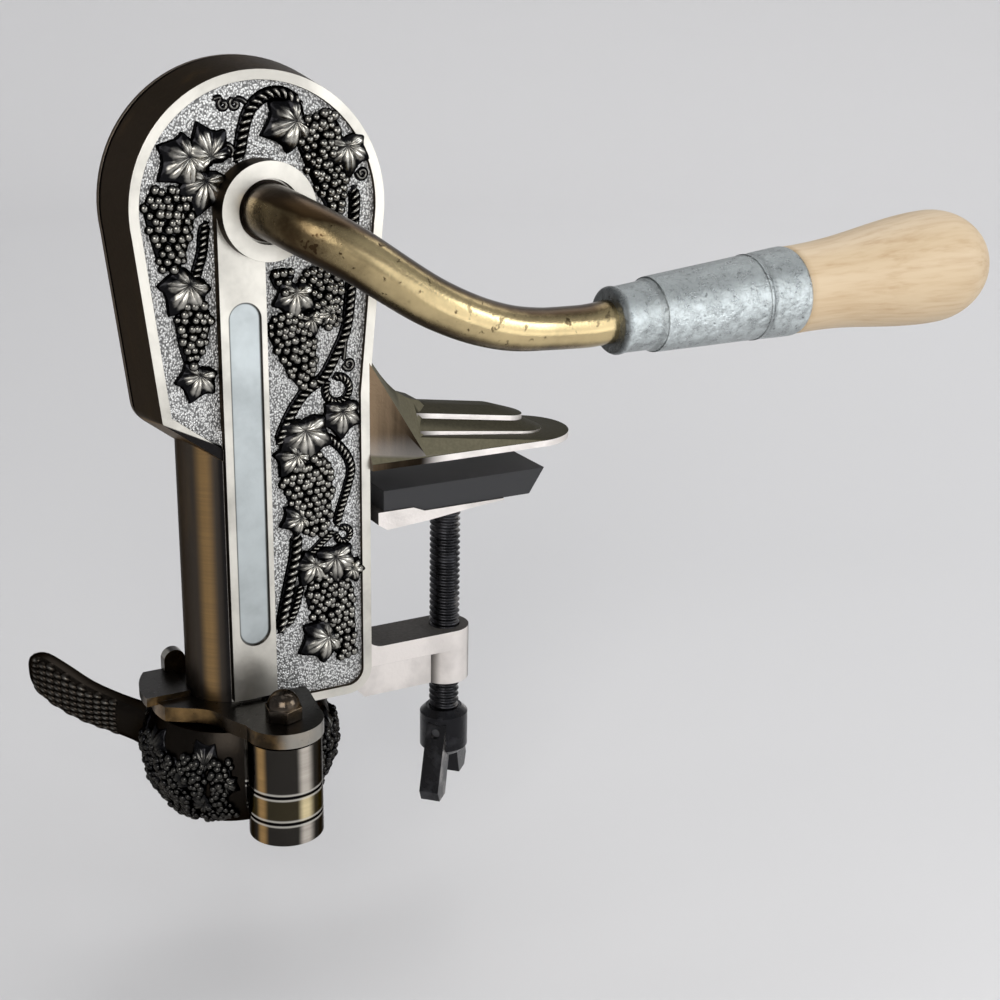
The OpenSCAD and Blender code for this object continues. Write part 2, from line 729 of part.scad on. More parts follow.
// Point on a smooth curve through p[1] and p[2], a share t of the way between them
function smooth_point(p, t) = 0.5 * (2 * p[1] + (p[2] - p[0]) * t
    + (2 * p[0] - 5 * p[1] + 4 * p[2] - p[3]) * t * t
    + (3 * p[1] - p[0] - 3 * p[2] + p[3]) * t * t * t);
arm_guides = concat([arm_points[0] + [0, 8, 0]], arm_points, [grip_from + 12 * grip_way]);
arm_line = concat([for (i = [0 : len(arm_points) - 2]) for (k = [0 : arm_steps - 1])
    smooth_point([for (j = [0 : 3]) arm_guides[i + j]], k / arm_steps)], [arm_points[len(arm_points) - 1]]);
function arm_radius(t) = let (waist = arm_tip_r - 0.4)
    t < 0.75 ? arm_root_r + (waist - arm_root_r) * pow(t / 0.75, 2.2)
        : waist + (arm_tip_r - waist) * (t - 0.75) / 0.25;

// Rings of a tube along a line of points, each square to the line
function line_way(p, i) = let (d = p[min(i + 1, len(p) - 1)] - p[max(i - 1, 0)]) d / norm(d);
function unit(v) = v / norm(v);
function tube_ring(c, way, r, up, sides) = let (u = unit(cross(way, up)), v = cross(u, way))
    [for (k = [0 : sides - 1]) c + r * (cos(360 * k / sides) * u + sin(360 * k / sides) * v)];

module tube_solid(rings) {
    n = len(rings[0]);
    m = len(rings);
    points = [for (ring = rings) each ring];
    sides = [for (i = [0 : m - 2]) for (k = [0 : n - 1]) let (a = i * n + k, b = i * n + (k + 1) % n)
        each [[a, b, b + n], [a, b + n, a + n]]];
    low = [for (k = [1 : n - 2]) [0, k + 1, k]];
    top = [for (k = [1 : n - 2]) [(m - 1) * n, (m - 1) * n + k, (m - 1) * n + k + 1]];
    polyhedron(points, concat(sides, low, top));
}

// Turns the Z axis onto the grip's axis, with its origin at the ferrule's mouth
module on_grip() {
    translate(grip_from) rotate([0, 90 - grip_tilt, 0]) children();
}

root_pin_r = 1.5;
tang_r = arm_tip_r - 1.2;
tang_l = 24;

module lever_arm() {
    last = len(arm_line) - 1;
    color(brass) at_shaft() difference() {
        union() {
            tube_solid([for (i = [0 : last])
                tube_ring(arm_line[i], line_way(arm_line, i), arm_radius(i / last), [0, 0, 1], 20)]);
            rod_y([0, 0], root_y - 7.5, root_y, arm_root_r);
            on_grip() cylinder(r = tang_r, h = tang_l);
        }
        rod_y([0, 0], near_y - collar_proud - 5.2, root_y + 1, shaft_r + fit_clear);
        rod_z([0, near_y - collar_proud - 2], -arm_root_r - 1, arm_root_r + 1, root_pin_r + fit_clear);
    }
}

module root_pin() {
    color(steel) at_shaft()
        rod_z([0, near_y - collar_proud - 2], -arm_root_r + 0.2, arm_root_r - 0.2, root_pin_r);
}

module grip_ferrule() {
    step = 13;
    step_r = ferrule_mouth_r + 1.8;
    bead = 0.78 * ferrule_l;
    bead_r = step_r + (ferrule_end_r - step_r) * (bead - step - 2) / (ferrule_l - step - 5);
    spigot_l = 30;
    sleeve_r = ferrule_end_r - 2;
    color(galvanised) at_shaft() on_grip() difference() {
        rotate_extrude() polygon([
            [0, 0], [ferrule_mouth_r - 0.8, 0], [ferrule_mouth_r, 0.8], [ferrule_mouth_r, 3],
            [ferrule_mouth_r + 0.5, 4], [step_r - 0.3, step - 2], [step_r, step], [step_r, step + 2],
            [bead_r, bead - 1], [bead_r + 0.3, bead - 0.4], [bead_r + 0.3, bead + 0.4], [bead_r, bead + 1],
            [ferrule_end_r, ferrule_l - 3], [ferrule_end_r, ferrule_l], [0, ferrule_l]]);
        translate([0, 0, -1]) cylinder(r = tang_r + fit_clear, h = tang_l + 1.5);
        translate([0, 0, -1]) cylinder(r = arm_tip_r + 0.3, h = 3.5);
        translate([0, 0, ferrule_l - spigot_l]) cylinder(r = sleeve_r, h = spigot_l + 1);
    }
}

// Turned grip: a spigot in the ferrule, a slim neck and a full rounded end
module wooden_grip() {
    spigot_l = 29;
    spigot_r = ferrule_end_r - 2 - fit_clear;
    full_at = 0.73;
    steps = 24;
    grip_profile = [for (i = [0 : steps]) let (s = i / steps, neck = ferrule_end_r - 0.2,
        swell = s < full_at ? pow((1 - cos(180 * s / full_at)) / 2, 1.25)
            : sqrt(max(0, 1 - pow((s - full_at) / (1 - full_at), 2))),
        r = s < full_at ? neck + (grip_r - neck) * swell : grip_r * swell) [r, ferrule_l + grip_l * s]];
    color(birch) at_shaft() on_grip() rotate_extrude()
        polygon(concat([[0, ferrule_l - spigot_l], [spigot_r, ferrule_l - spigot_l], [spigot_r, ferrule_l]],
            grip_profile));
}

// Rack, carriage, spindle and worm

module rack() {
    tip = rack_x + rack_addendum;
    root = rack_x - dedendum;
    half = (tooth_pitch / 2 - backlash) / 2;
    low_half = half + dedendum * tan(20);
    tip_half = half - rack_addendum * tan(20);
    first = ceil((rack_low + low_half - rack_phase) / tooth_pitch - 0.5);
    last = floor((rack_top - carriage_h - low_half - rack_phase) / tooth_pitch - 0.5);
    color(steel) at_shaft() difference() {
        across(rack_near, rack_far) {
            translate([rack_back_x, rack_low]) square([root - rack_back_x, rack_top - rack_low]);
            for (i = [first : last]) translate([0, rack_phase + (i + 0.5) * tooth_pitch])
                polygon([[root - 0.1, -low_half], [root, -low_half], [tip, -tip_half], [tip, tip_half],
                    [root, low_half], [root - 0.1, low_half]]);
        }
        for (z = rack_screw_z) translate([rack_back_x - 1, 0, z]) rotate([0, 90, 0])
            cylinder(r = 1 + fit_clear, h = 2 * bore_r);
    }
}
rack_screw_z = [rack_top - carriage_h / 2 - 2, rack_top - carriage_h / 2 + 2];

module carriage() {
    half = spindle_r + 3.5;
    flat = spindle_r + 0.3;
    color(dark_bronze) at_shaft() difference() {
        intersection() {
            union() {
                rod_z([-nose_x, 0], carriage_low, rack_top, half);
                translate([-nose_x, rack_near, carriage_low])
                    cube([rack_back_x + nose_x, rack_far - rack_near, carriage_h]);
            }
            translate([-nose_x - half - 1, -flat, carriage_low - 1])
                cube([rack_back_x + nose_x + half + 1, 2 * flat, carriage_h + 2]);
        }
        rod_z([-nose_x, 0], carriage_low - 1, rack_top + 1, neck_spindle_r + run_clear);
        for (z = rack_screw_z) translate([rack_back_x - 1.2, 0, z]) rotate([0, 90, 0])
            cylinder(r = 1 + fit_clear, h = 3);
    }
}

module rack_screws() {
    color(black_oxide) at_shaft() for (z = rack_screw_z)
        translate([rack_back_x - 1, 0, z]) rotate([0, 90, 0])
            cylinder(r = 1, h = rack_x - dedendum - rack_back_x + 1);
}

module spindle() {
    shank_r = wire_r;
    color(steel) at_shaft() difference() {
        union() {
            rod_z([-nose_x, 0], -spindle_low, carriage_low - 0.2, spindle_r);
            rod_z([-nose_x, 0], carriage_low - 1, rack_top + 2.2, neck_spindle_r);
        }
        rod_z([-nose_x, 0], -spindle_low - 1, -spindle_low + 10, shank_r + fit_clear);
        translate([-nose_x, spindle_r + 1, -spindle_low + 6]) rotate([90, 0, 0])
            cylinder(r = 0.8 + fit_clear, h = 2 * spindle_r + 2);
    }
}

module spindle_clip() {
    color(black_oxide) at_shaft() difference() {
        rod_z([-nose_x, 0], rack_top + 0.3, rack_top + 1.3, spindle_r + 0.5);
        rod_z([-nose_x, 0], rack_top, rack_top + 2, neck_spindle_r + fit_clear);
    }
}

// Right-handed wire helix with a straight shank above and a point below
worm_sides = 8;
worm_ring_count = 14;
module worm() {
    helix_r = worm_r - wire_r;
    last = round(worm_turns * worm_ring_count);
    line = [for (i = [0 : last]) let (t = i / last, a = -360 * worm_turns * t, r = helix_r * min(1, t * 8))
        [r * cos(a), r * sin(a), -worm_top - worm_turns * worm_pitch * t]];
    color(steel) at_shaft() translate([-nose_x, 0, 0]) difference() {
        union() {
            tube_solid([for (i = [0 : last]) tube_ring(line[i], line_way(line, i),
                wire_r * (i > last - 8 ? 0.15 + 0.85 * (last - i) / 8 : 1), [1, 0, 0.3], worm_sides)]);
            rod_z([0, 0], -worm_top - 0.6, -spindle_low + 9.5, wire_r);
        }
        translate([0, spindle_r, -spindle_low + 6]) rotate([90, 0, 0])
            cylinder(r = 0.8 + fit_clear, h = 2 * spindle_r);
    }
}

module worm_pin() {
    color(steel) at_shaft() translate([-nose_x, spindle_r - 0.2, -spindle_low + 6]) rotate([90, 0, 0])
        cylinder(r = 0.8, h = 2 * spindle_r - 0.4);
}

// Hinge plate and bottle jaws

module hinge_plate() {
    ear_x = -nose_x - bore_r - 1.4;
    wing_proud = 3.2;
    color(dark_bronze) at_shaft() difference() {
        union() {
            translate([0, 0, -plate_low]) linear_extrude(plate_t) plate_outline();
            translate([0, 0, -plate_drop - 1]) linear_extrude(2.8) intersection() {
                translate([-nose_x, 0]) circle(r = plate_r + wing_proud);
                translate([-nose_x - plate_r - wing_proud, -3])
                    square([plate_r + wing_proud - nose_r - 0.5, plate_r - 6]);
            }
            across(13.5, 17) {
                translate([ear_x - 3.4, -plate_drop - 1]) square([6.8, 6]);
                translate([ear_x, -plate_drop + 5]) circle(r = 3.4);
            }
        }
        rod_z([-nose_x, 0], -plate_low - 1, -plate_drop + 1, bore_r);
        rod_z(hinge_at, -plate_low - 1, -plate_drop + 1, hinge_pin_r + fit_clear);
        for (p = plate_screws_at) {
            rod_z(p, -plate_low - 1, -plate_drop + 1, plate_screw_r + 0.2);
            translate([p[0], p[1], -plate_low])
                cylinder(r1 = 2 * plate_screw_r + 0.1, r2 = plate_screw_r + 0.1, h = plate_screw_r);
        }
    }
}

module plate_screws() {
    color(black_oxide) at_shaft() for (p = plate_screws_at) {
        rod_z(p, -plate_low + plate_screw_r - 0.1, -plate_drop + 7.5, plate_screw_r);
        translate([p[0], p[1], -plate_low])
            cylinder(r1 = 2 * plate_screw_r, r2 = plate_screw_r, h = plate_screw_r);
    }
}

module hinge_pin() {
    color(steel) at_shaft() {
        rod_z(hinge_at, jaw_low + 0.2, -plate_drop - 0.5, hinge_pin_r);
        rod_z(hinge_at, -plate_drop - 1, -plate_drop + 5, nut_bore_r);
        rod_z(hinge_at, jaw_low + 0.2, jaw_low + pin_head_h, pin_head_r);
    }
}

module acorn_nut() {
    hex_h = 4;
    dome_r = nut_flats / 2 - 0.1;
    color(dark_bronze) at_shaft() translate([hinge_at[0], hinge_at[1], -plate_drop]) difference() {
        union() {
            rotate(20) cylinder(r = nut_flats / sqrt(3), h = hex_h, $fn = 6);
            intersection() {
                translate([0, 0, hex_h]) sphere(r = dome_r);
                translate([0, 0, 10]) cube(20, center = true);
            }
        }
        translate([0, 0, -1]) cylinder(r = nut_bore_r + fit_clear, h = 6.4);
    }
}

// Handle of a jaw: place, half width and half height along it, each a smooth run through these stations
handle_stations = [for (p = [[-17, 12, 0, 4, 7.5], [-17, 16, 0.5, 4, 7.4], [-18, 25, 2.4, 3.9, 6.6],
    [-22, 34, 3.6, 3.7, 6.4], [-27.5, 43, 5.8, 3.6, 7], [-32, 51, 9, 3.5, 7.8], [-35.6, 57.5, 12, 3.2, 7.6],
    [-37.8, 61.6, 13.6, 2.4, 5.4], [-38.7, 63.2, 14, 1, 2.4], [-39, 63.6, 14, 0.5, 1]]) p * jaw_r / 27];
handle_steps = 3;
module jaw_handle(mid) {
    last = len(handle_stations) - 4;
    line = concat([for (i = [0 : last]) for (k = [0 : handle_steps - 1])
        smooth_point([for (j = [0 : 3]) handle_stations[i + j]], k / handle_steps)],
        [handle_stations[last + 2]]);
    translate([0, hinge_l, mid]) tube_solid([for (i = [0 : len(line) - 1])
        let (d = line_way(line, i), way = unit([d[0], d[1]]), p = line[i])
        [for (k = [0 : 15])
            let (c = cos(22.5 * k), h = sin(22.5 * k), w = p[3] * sign(c) * pow(abs(c), 0.6))
            [p[0] + way[1] * w, p[1] - way[0] * w, p[2] + p[4] * sign(h) * pow(abs(h), 0.6)]]]);
}

// One jaw in its own frame: hinge at the origin, neck on +Y, the jaw on the -X side
module jaw(knuckles, gaps) {
    mid = (jaw_top + jaw_low) / 2;
    belly_fall = 0.622 * jaw_r;
    belly = [for (k = [0 : 8]) let (t = k / 8)
        [jaw_r - belly_fall * pow(abs(t - 0.4), 1.8), jaw_top - jaw_h * t]];
    difference() {
        union() {
            difference() {
                translate([0, hinge_l, 0]) rotate(90) rotate_extrude(angle = 180)
                    polygon(concat([[neck_r, jaw_low], [neck_r, jaw_top]], belly));
                translate([-0.2, 0, jaw_low - 1]) cube([jaw_r, 2 * (hinge_l + jaw_r), jaw_h + 2]);
                for (g = gaps) rod_z([0, 0], g[0], g[1], knuckle_r + pass_clear);
            }
            for (k = knuckles) rod_z([0, 0], k[0], k[1], knuckle_r);
            difference() {
                jaw_handle(mid);
                rod_z([0, hinge_l], jaw_low - 1, jaw_top + 1, neck_r + 1);
            }
        }
        rod_z([0, 0], jaw_low - 1, jaw_top + 1, hinge_pin_r + run_clear);
        rod_z([0, 0], jaw_low - 1, jaw_low + pin_head_h + pass_clear, pin_head_r + pass_clear);
    }
}

module on_hinge(turn = 0) {
    translate([hinge_at[0], hinge_at[1], 0]) rotate(hinge_dir + turn) children();
}

outer_knuckles = [[middle_top + knuckle_gap, jaw_top], [jaw_low, lower_top]];
inner_knuckle = [[lower_top + knuckle_gap, middle_top]];

module front_jaw() {
    color(dark_bronze) at_shaft() on_hinge() jaw(outer_knuckles, [[lower_top, middle_top + knuckle_gap]]);
}

module back_jaw() {
    color(dark_bronze) at_shaft() on_hinge(-back_jaw_open) mirror([1, 0, 0]) jaw(inner_knuckle,
        [[middle_top, jaw_top + 1], [jaw_low - 1, lower_top + knuckle_gap]]);
}

// Table clamp

// Corners along the top of the pressure plate, where the pad lies: heel, step and thin tongue
press_line = [[press_near_x, press_top], [press_near_x + heel_l, press_top],
    [press_near_x + heel_l + 2.4 * heel_step, press_top - heel_step], [press_far_x, press_top - heel_step]];

module pressure_plate() {
    color(pewter) at_shaft() difference() {
        union() {
            across(-press_half_w, press_half_w) polygon(concat(press_line, [
                [press_far_x, press_top - heel_step - 0.6], [screw_x + screw_r, swivel_seat],
                [press_near_x + heel_l + 5, press_low + 1], [press_near_x + 3, press_low],
                [press_near_x, press_low + 2]]));
            rod_z([screw_x, 0], swivel_seat, swivel_seat + swivel_h + 1.4, swivel_boss_r);
        }
        rod_z([screw_x, 0], press_low - 1, swivel_seat, screw_r + pass_clear);
        rod_z([screw_x, 0], press_low - 1, swivel_seat + swivel_h, swivel_r + run_clear);
        swivel_cross(fit_clear, 1);
    }
}

// Cross hole or pin that runs in the swivel's groove
module swivel_cross(c, past) {
    translate([screw_x + swivel_r + 0.3, swivel_boss_r + past, swivel_seat + swivel_h / 2])
        rotate([90, 0, 0]) cylinder(r = swivel_pin_r + c, h = 2 * (swivel_boss_r + past));
}

module swivel_pin() {
    color(steel) at_shaft() intersection() {
        swivel_cross(0, 0);
        rod_z([screw_x, 0], press_low, press_top + heel_t, swivel_boss_r - 0.2);
    }
}

module plate_pad() {
    color(rubber) at_shaft() difference() {
        across(-press_half_w + 0.5, press_half_w - 0.5) polygon([
            [press_near_x + 2, press_top], press_line[1], press_line[2], press_line[3],
            [pad_far_x, press_top - heel_step], [pad_far_x + pad_lean, pad_top], [press_near_x + 2, pad_top]]);
        rod_z([screw_x, 0], press_low, swivel_seat + swivel_h + 1.4 + fit_clear, swivel_boss_r + fit_clear);
    }
}

module clamp_screw() {
    groove_r = swivel_r - 1;
    color(black_oxide) at_shaft() difference() {
        union() {
            rod_z([screw_x, 0], -hub_drop - hub_h + 2, swivel_seat - 0.2, screw_r);
            rod_z([screw_x, 0], swivel_seat - 1, swivel_seat + swivel_h - 0.2, swivel_r);
        }
        difference() {
            rod_z([screw_x, 0], swivel_seat + swivel_h / 2 - 1.3, swivel_seat + swivel_h / 2 + 1.3,
                screw_r + 1);
            rod_z([screw_x, 0], swivel_seat, swivel_seat + swivel_h, groove_r);
        }
        wing_pin_hole(screw_r + 1);
    }
}

module wing_pin_hole(reach) {
    translate([screw_x, 0, -hub_drop - hub_h / 2]) rotate(wing_turn) rotate([0, 90, 0])
        cylinder(r = wing_pin_r + fit_clear, h = 2 * reach, center = true);
}

module wing_handle() {
    wing_t = 6.5;
    spread = 16;
    color(black_oxide) at_shaft() difference() {
        union() {
            translate([screw_x, 0, -hub_drop - hub_h]) {
                cylinder(r = hub_r, h = hub_h - 2);
                translate([0, 0, hub_h - 2]) cylinder(r1 = hub_r, r2 = hub_r - 2, h = 2);
                translate([0, 0, -2]) cylinder(r1 = hub_r - 2, r2 = hub_r, h = 2);
            }
            translate([screw_x, 0, 0]) rotate(wing_turn) across(-wing_t / 2, wing_t / 2) polygon([
                [-hub_r, -hub_drop - 4], [hub_r, -hub_drop - 4],
                [spread, -wing_drop + 4], [spread - 2, -wing_drop],
                [spread - 8, -wing_drop], [4, -hub_drop - hub_h - 2], [-4, -hub_drop - hub_h - 2],
                [8 - spread, -wing_drop], [2 - spread, -wing_drop], [-spread, -wing_drop + 4]]);
        }
        rod_z([screw_x, 0], -hub_drop - hub_h + 1.9, -hub_drop + 1, screw_r + fit_clear);
        wing_pin_hole(hub_r + 4);
    }
}

module wing_pin() {
    color(steel) at_shaft()
        translate([screw_x, 0, -hub_drop - hub_h / 2]) rotate(wing_turn) rotate([0, 90, 0])
        cylinder(r = wing_pin_r, h = 2 * hub_r, center = true);
}

main_housing();
table_foot();
clamp_arm();
rear_cover();
cover_screws();
shaft_bush();
cover_bush();
idler_axle();
pinion_axle();
spindle_nut();
hinge_plate();
plate_screws();
hinge_pin();
acorn_nut();
crank_shaft();
shaft_clip();
drive_gear();
gear_key();
lever_arm();
root_pin();
grip_ferrule();
wooden_grip();
idler_gear();
rack_pinion();
rack();
carriage();
rack_screws();
spindle();
spindle_clip();
worm();
worm_pin();
front_jaw();
back_jaw();
pressure_plate();
plate_pad();
clamp_screw();
swivel_pin();
wing_handle();
wing_pin();
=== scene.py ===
"""Looks of a countertop corkscrew: finishes, ornament, screw thread and a plain studio round the CAD part.

Shapes are in millimetres in the shaft's frame (crank shaft's axis at X 0, Z 0, barrel's middle at Y 0), and
to_frame() turns them into metres in the part's frame. Materials read metres in the part's frame.
"""

import json
import math

import bmesh
import bpy
import numpy as np
from bpy.props import FloatProperty, FloatVectorProperty, PointerProperty
from mathutils import Matrix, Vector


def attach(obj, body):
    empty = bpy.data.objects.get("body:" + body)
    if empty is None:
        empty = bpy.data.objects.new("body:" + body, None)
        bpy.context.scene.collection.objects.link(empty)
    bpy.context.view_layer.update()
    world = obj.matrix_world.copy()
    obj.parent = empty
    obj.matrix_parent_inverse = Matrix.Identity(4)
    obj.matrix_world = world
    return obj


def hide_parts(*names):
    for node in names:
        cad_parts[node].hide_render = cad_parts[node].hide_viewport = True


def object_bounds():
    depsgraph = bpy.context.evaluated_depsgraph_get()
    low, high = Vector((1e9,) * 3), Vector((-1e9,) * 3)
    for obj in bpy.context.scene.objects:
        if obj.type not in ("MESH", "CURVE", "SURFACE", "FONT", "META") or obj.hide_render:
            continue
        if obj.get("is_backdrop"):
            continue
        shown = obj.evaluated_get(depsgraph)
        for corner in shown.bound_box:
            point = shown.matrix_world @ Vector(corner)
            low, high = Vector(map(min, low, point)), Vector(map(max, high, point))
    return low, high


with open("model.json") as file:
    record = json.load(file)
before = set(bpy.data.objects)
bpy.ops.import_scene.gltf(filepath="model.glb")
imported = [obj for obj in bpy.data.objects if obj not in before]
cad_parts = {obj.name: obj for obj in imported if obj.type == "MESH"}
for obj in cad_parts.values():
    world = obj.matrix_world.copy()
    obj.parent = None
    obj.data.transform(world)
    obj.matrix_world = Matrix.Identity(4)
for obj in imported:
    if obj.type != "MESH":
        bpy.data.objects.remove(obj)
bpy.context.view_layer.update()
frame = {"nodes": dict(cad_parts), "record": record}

bl_info = {
    "name": "Countertop corkscrew looks",
    "version": (1, 0, 0),
    "blender": (4, 5, 0),
    "location": "View3D > Sidebar > Corkscrew",
    "description": "Finishes, vine ornament, screw thread and studio for a table-clamped lever corkscrew",
    "category": "Object",
}

MM = 0.001
FLAT = 0.01  # radians between triangles that still make one flat face
CORNER_STEPS = 6  # faces of a rounded corner

# Millimetres in the shaft's frame
SEAT = np.array([-72.0, 0.0, 80.0])  # the shaft's place in the part's frame
FIELD_Y = -12.5  # ground of the housing's ornament
SUNK = -0.3  # underside of each ornament, seen from its ground
NECK = np.array([-8.9, 0.0])  # middle of the space for a bottle's neck
HINGE = np.array([-3.7, -29.8])  # hinge pin
HINGE_REACH = np.hypot(*(NECK - HINGE))
HINGE_TURN = math.atan2(HINGE[0] - NECK[0], NECK[1] - HINGE[1])
JAW_TOP, JAW_HEIGHT, JAW_R = -152.9, 31.5, 27.0
JAW_OPEN = math.radians(8.0)  # turn of the back jaw at rest
BELLY_DEPTH, BELLY_AT, BELLY_POWER = 16.8, 0.4, 1.8  # curve of a jaw's outside down its height
KNUCKLE_JOINTS = (-168.45, -177.15)  # heights of the gaps between the hinge's knuckles
SCREW_X, SCREW_R, SCREW_LOW, SCREW_HIGH = 65.0, 5.0, -183.0, -98.3
SWIVEL = [(3.5, -98.2), (3.5, -96.8), (2.5, -96.8), (2.5, -94.2), (3.5, -94.2), (3.5, -93.3)]
ARM_LOW = -148.0  # underside of the clamp arm's flange
RECESS_X, RECESS_MID, RECESS_HALF, RECESS_R = -6.45, -77.45, 47.1, 4.75  # recess of the upright bar
PLATE_CORNERS = [(-20.9, -15.2, 4.0), (-18.3, -24.7, 3.0), (-30.6, -8.8, 1.5)]  # X, Y, radius
ARM_BENDS = [(0, -19, 0), (0, -26, 0), (4, -36, -2.6), (15, -42, -9.1), (37, -48, -23.6), (58, -50, -31.5)]
ARM_STEPS = 10  # points between two bends of the lever arm
ARM_R, WAIST_R, WAIST_AT = 7.75, 6.1, 0.75  # its radius at the root, and at its thinnest place
MOUTH = np.array([92.0, -50.0, -32.8])  # where the arm enters the ferrule
ARM_STRAIGHT, ARM_INSIDE = 11.0, 2.0  # the arm's straight end, before the mouth and past it
GRIP_TILT = math.radians(3.4)
FERRULE_LENGTH, GRIP_START, GRIP_END = 65.0, 36.0, 144.0  # along the grip from the ferrule's mouth
STEM_R, NECK_R, GRIP_R, GRIP_FULL = 11.7, 13.55, 18.2, 0.73  # grip's radii, and where it is fullest

# Metres in the part's frame, for the materials. Two or four numbers are where a change starts and ends, along
# Y for the field and the seam, away from the hinge for the knuckles, and else along X.
BARREL_RIGHT = -0.0857
SHOULDER_SLOPE, SHOULDER_DROP = 0.503, 0.0301
FIELD_DEPTH = (-0.0134, -0.0131)
SEAM = (0.0033, 0.0037, 0.0056, 0.0060)
FLANGE_END = (-0.0150, -0.0145)
COVE_X, COVE_END = -0.041, (-0.024, -0.014)
LOBE_START = (-0.088, -0.078)
KNUCKLE_RIM = (0.0119, 0.0121)
ARM_ROOT, ARM_END = (-0.072, -0.050), (-0.012, 0.020)
MOUTH_RIM = (0.0205, 0.0225)
FERRULE_LINES = (0.0330, 0.0712)  # crimp and ring


def to_frame(points):
    """Millimetres in the shaft's frame to metres in the part's frame."""
    return (np.asarray(points, float) + SEAT) * MM


def colour(name, description, value):
    """A colour property in linear light."""
    return FloatVectorProperty(
        name=name, description=description, default=value, subtype="COLOR", min=0, max=1
    )


def length(name, description, value):
    """A length property in metres."""
    return FloatProperty(
        name=name, description=description, default=value, subtype="DISTANCE", unit="LENGTH", min=0
    )


class HousingLook(bpy.types.PropertyGroup):
    """Finish of the housing and its ornament."""

    plate: colour("Plating", "Worn pale plating on the rim, bar and collar", (0.70, 0.675, 0.61))
    bar: colour("Recess", "Cool grey in the bar's long recess", (0.48, 0.52, 0.525))
    field: colour("Field", "Grey tops of the pebbled ground", (0.80, 0.80, 0.79))
    # Also the colour of painted shade: the barrel past its golden line, the gaps between the knuckles, and
    # the low parts of the relief.
    patina_and_shade: colour("Patina", "Black patina in the hollows", (0.010, 0.010, 0.011))
    bronze: colour("Bronze", "Dark bronze of the sides and barrel", (0.060, 0.050, 0.041))
    # Also the colour of the painted highlight on the barrel and of the painted warm band on the knuckles.
    gold: colour("Rubbed bronze", "Golden rubbed places of the bronze", (0.34, 0.21, 0.085))
    edge: length("Edge", "Rounding of the casting's edges", 0.0007)
    grape: length("Grape", "Radius of one grape of the ornament", 0.00145)
    relief: length("Relief", "Height of the leaves above the field", 0.0023)


class LeverLook(bpy.types.PropertyGroup):
    """Finish of the lever, its ferrule and grip."""

    brass: colour("Brass", "Rubbed brass of the arm", (0.63, 0.50, 0.27))
    # Also the colour of the painted shade on the arm's upper and lower sides and at its root.
    patina_and_shade: colour("Patina", "Brown patina of the arm", (0.040, 0.024, 0.011))
    zinc: colour("Zinc", "Zinc coat of the ferrule", (0.57, 0.615, 0.62))
    wood: colour("Wood", "Pale wood of the grip", (0.55, 0.425, 0.275))
    grain: colour("Grain", "Darker grain of the grip", (0.43, 0.295, 0.165))


class ClampLook(bpy.types.PropertyGroup):
    """Finish of the table clamp."""

    black: colour("Black oxide", "Black oxide of the screw and wing", (0.018, 0.018, 0.020))
    pitch: length("Thread pitch", "Pitch of the clamp screw's thread", 0.002)
    pewter: colour("Pewter", "Pale pewter of the arm and pressure plate", (0.84, 0.79, 0.75))
    foot: colour("Foot", "Dark brown of the foot's top", (0.034, 0.031, 0.021))
    copper: colour("Copper", "Brown in the foot's cove", (0.13, 0.092, 0.058))
    depth: length("Thread depth", "Depth of the clamp screw's thread", 0.0008)


class StageLook(bpy.types.PropertyGroup):
    """Studio round the object."""

    floor: colour("Floor", "Pale floor and backdrop", (0.64, 0.635, 0.64))
    gap: length("Floor gap", "Room below the lowest piece for the clamp screw's travel", 0.038)
    lens: FloatProperty(
        name="Lens", description="Focal length in mm on a 36 mm sensor", default=57.6, min=20, max=200
    )
    power: FloatProperty(name="Light", description="Watts of a lamp whose share is 1", default=15.84, min=0)


LOOKS = {"housing": HousingLook, "lever": LeverLook, "clamp": ClampLook, "stage": StageLook}


def look(kind):
    """The scene's settings of one kind."""
    return getattr(bpy.context.scene, "corkscrew_" + kind)


# Materials


class Value:
    """A socket of a node tree. Arithmetic on it adds Math nodes."""

    def __init__(self, paint, socket):
        self.paint, self.socket = paint, socket

    def math(self, operation, *others):
        return self.paint.node("ShaderNodeMath", {"operation": operation}, dict(enumerate((self, *others))))

    def __add__(self, other):
        return self.math("ADD", other)

    def __sub__(self, other):
        return self.math("SUBTRACT", other)

    def __mul__(self, other):
        return self.math("MULTIPLY", other)

    def __pow__(self, other):
        return self.math("POWER", other)

    def __rsub__(self, other):
        return (self * -1.0) + other

    def __neg__(self):
        return self * -1.0

    def __abs__(self):
        return self.math("ABSOLUTE")

    __radd__ = __add__
    __rmul__ = __mul__

    def most(self, other):
        return self.math("MAXIMUM", other)

    def step(self, low, high):
        """0 below low, 1 above high, smooth between."""
        inputs = {"Value": self, "From Min": low, "From Max": high}
        return self.paint.node("ShaderNodeMapRange", {"interpolation_type": "SMOOTHSTEP"}, inputs)

    def band(self, start, full, fade, end):
        """1 from full to fade, 0 outside start and end, smooth between."""
        return self.step(start, full) * (1.0 - self.step(fade, end))


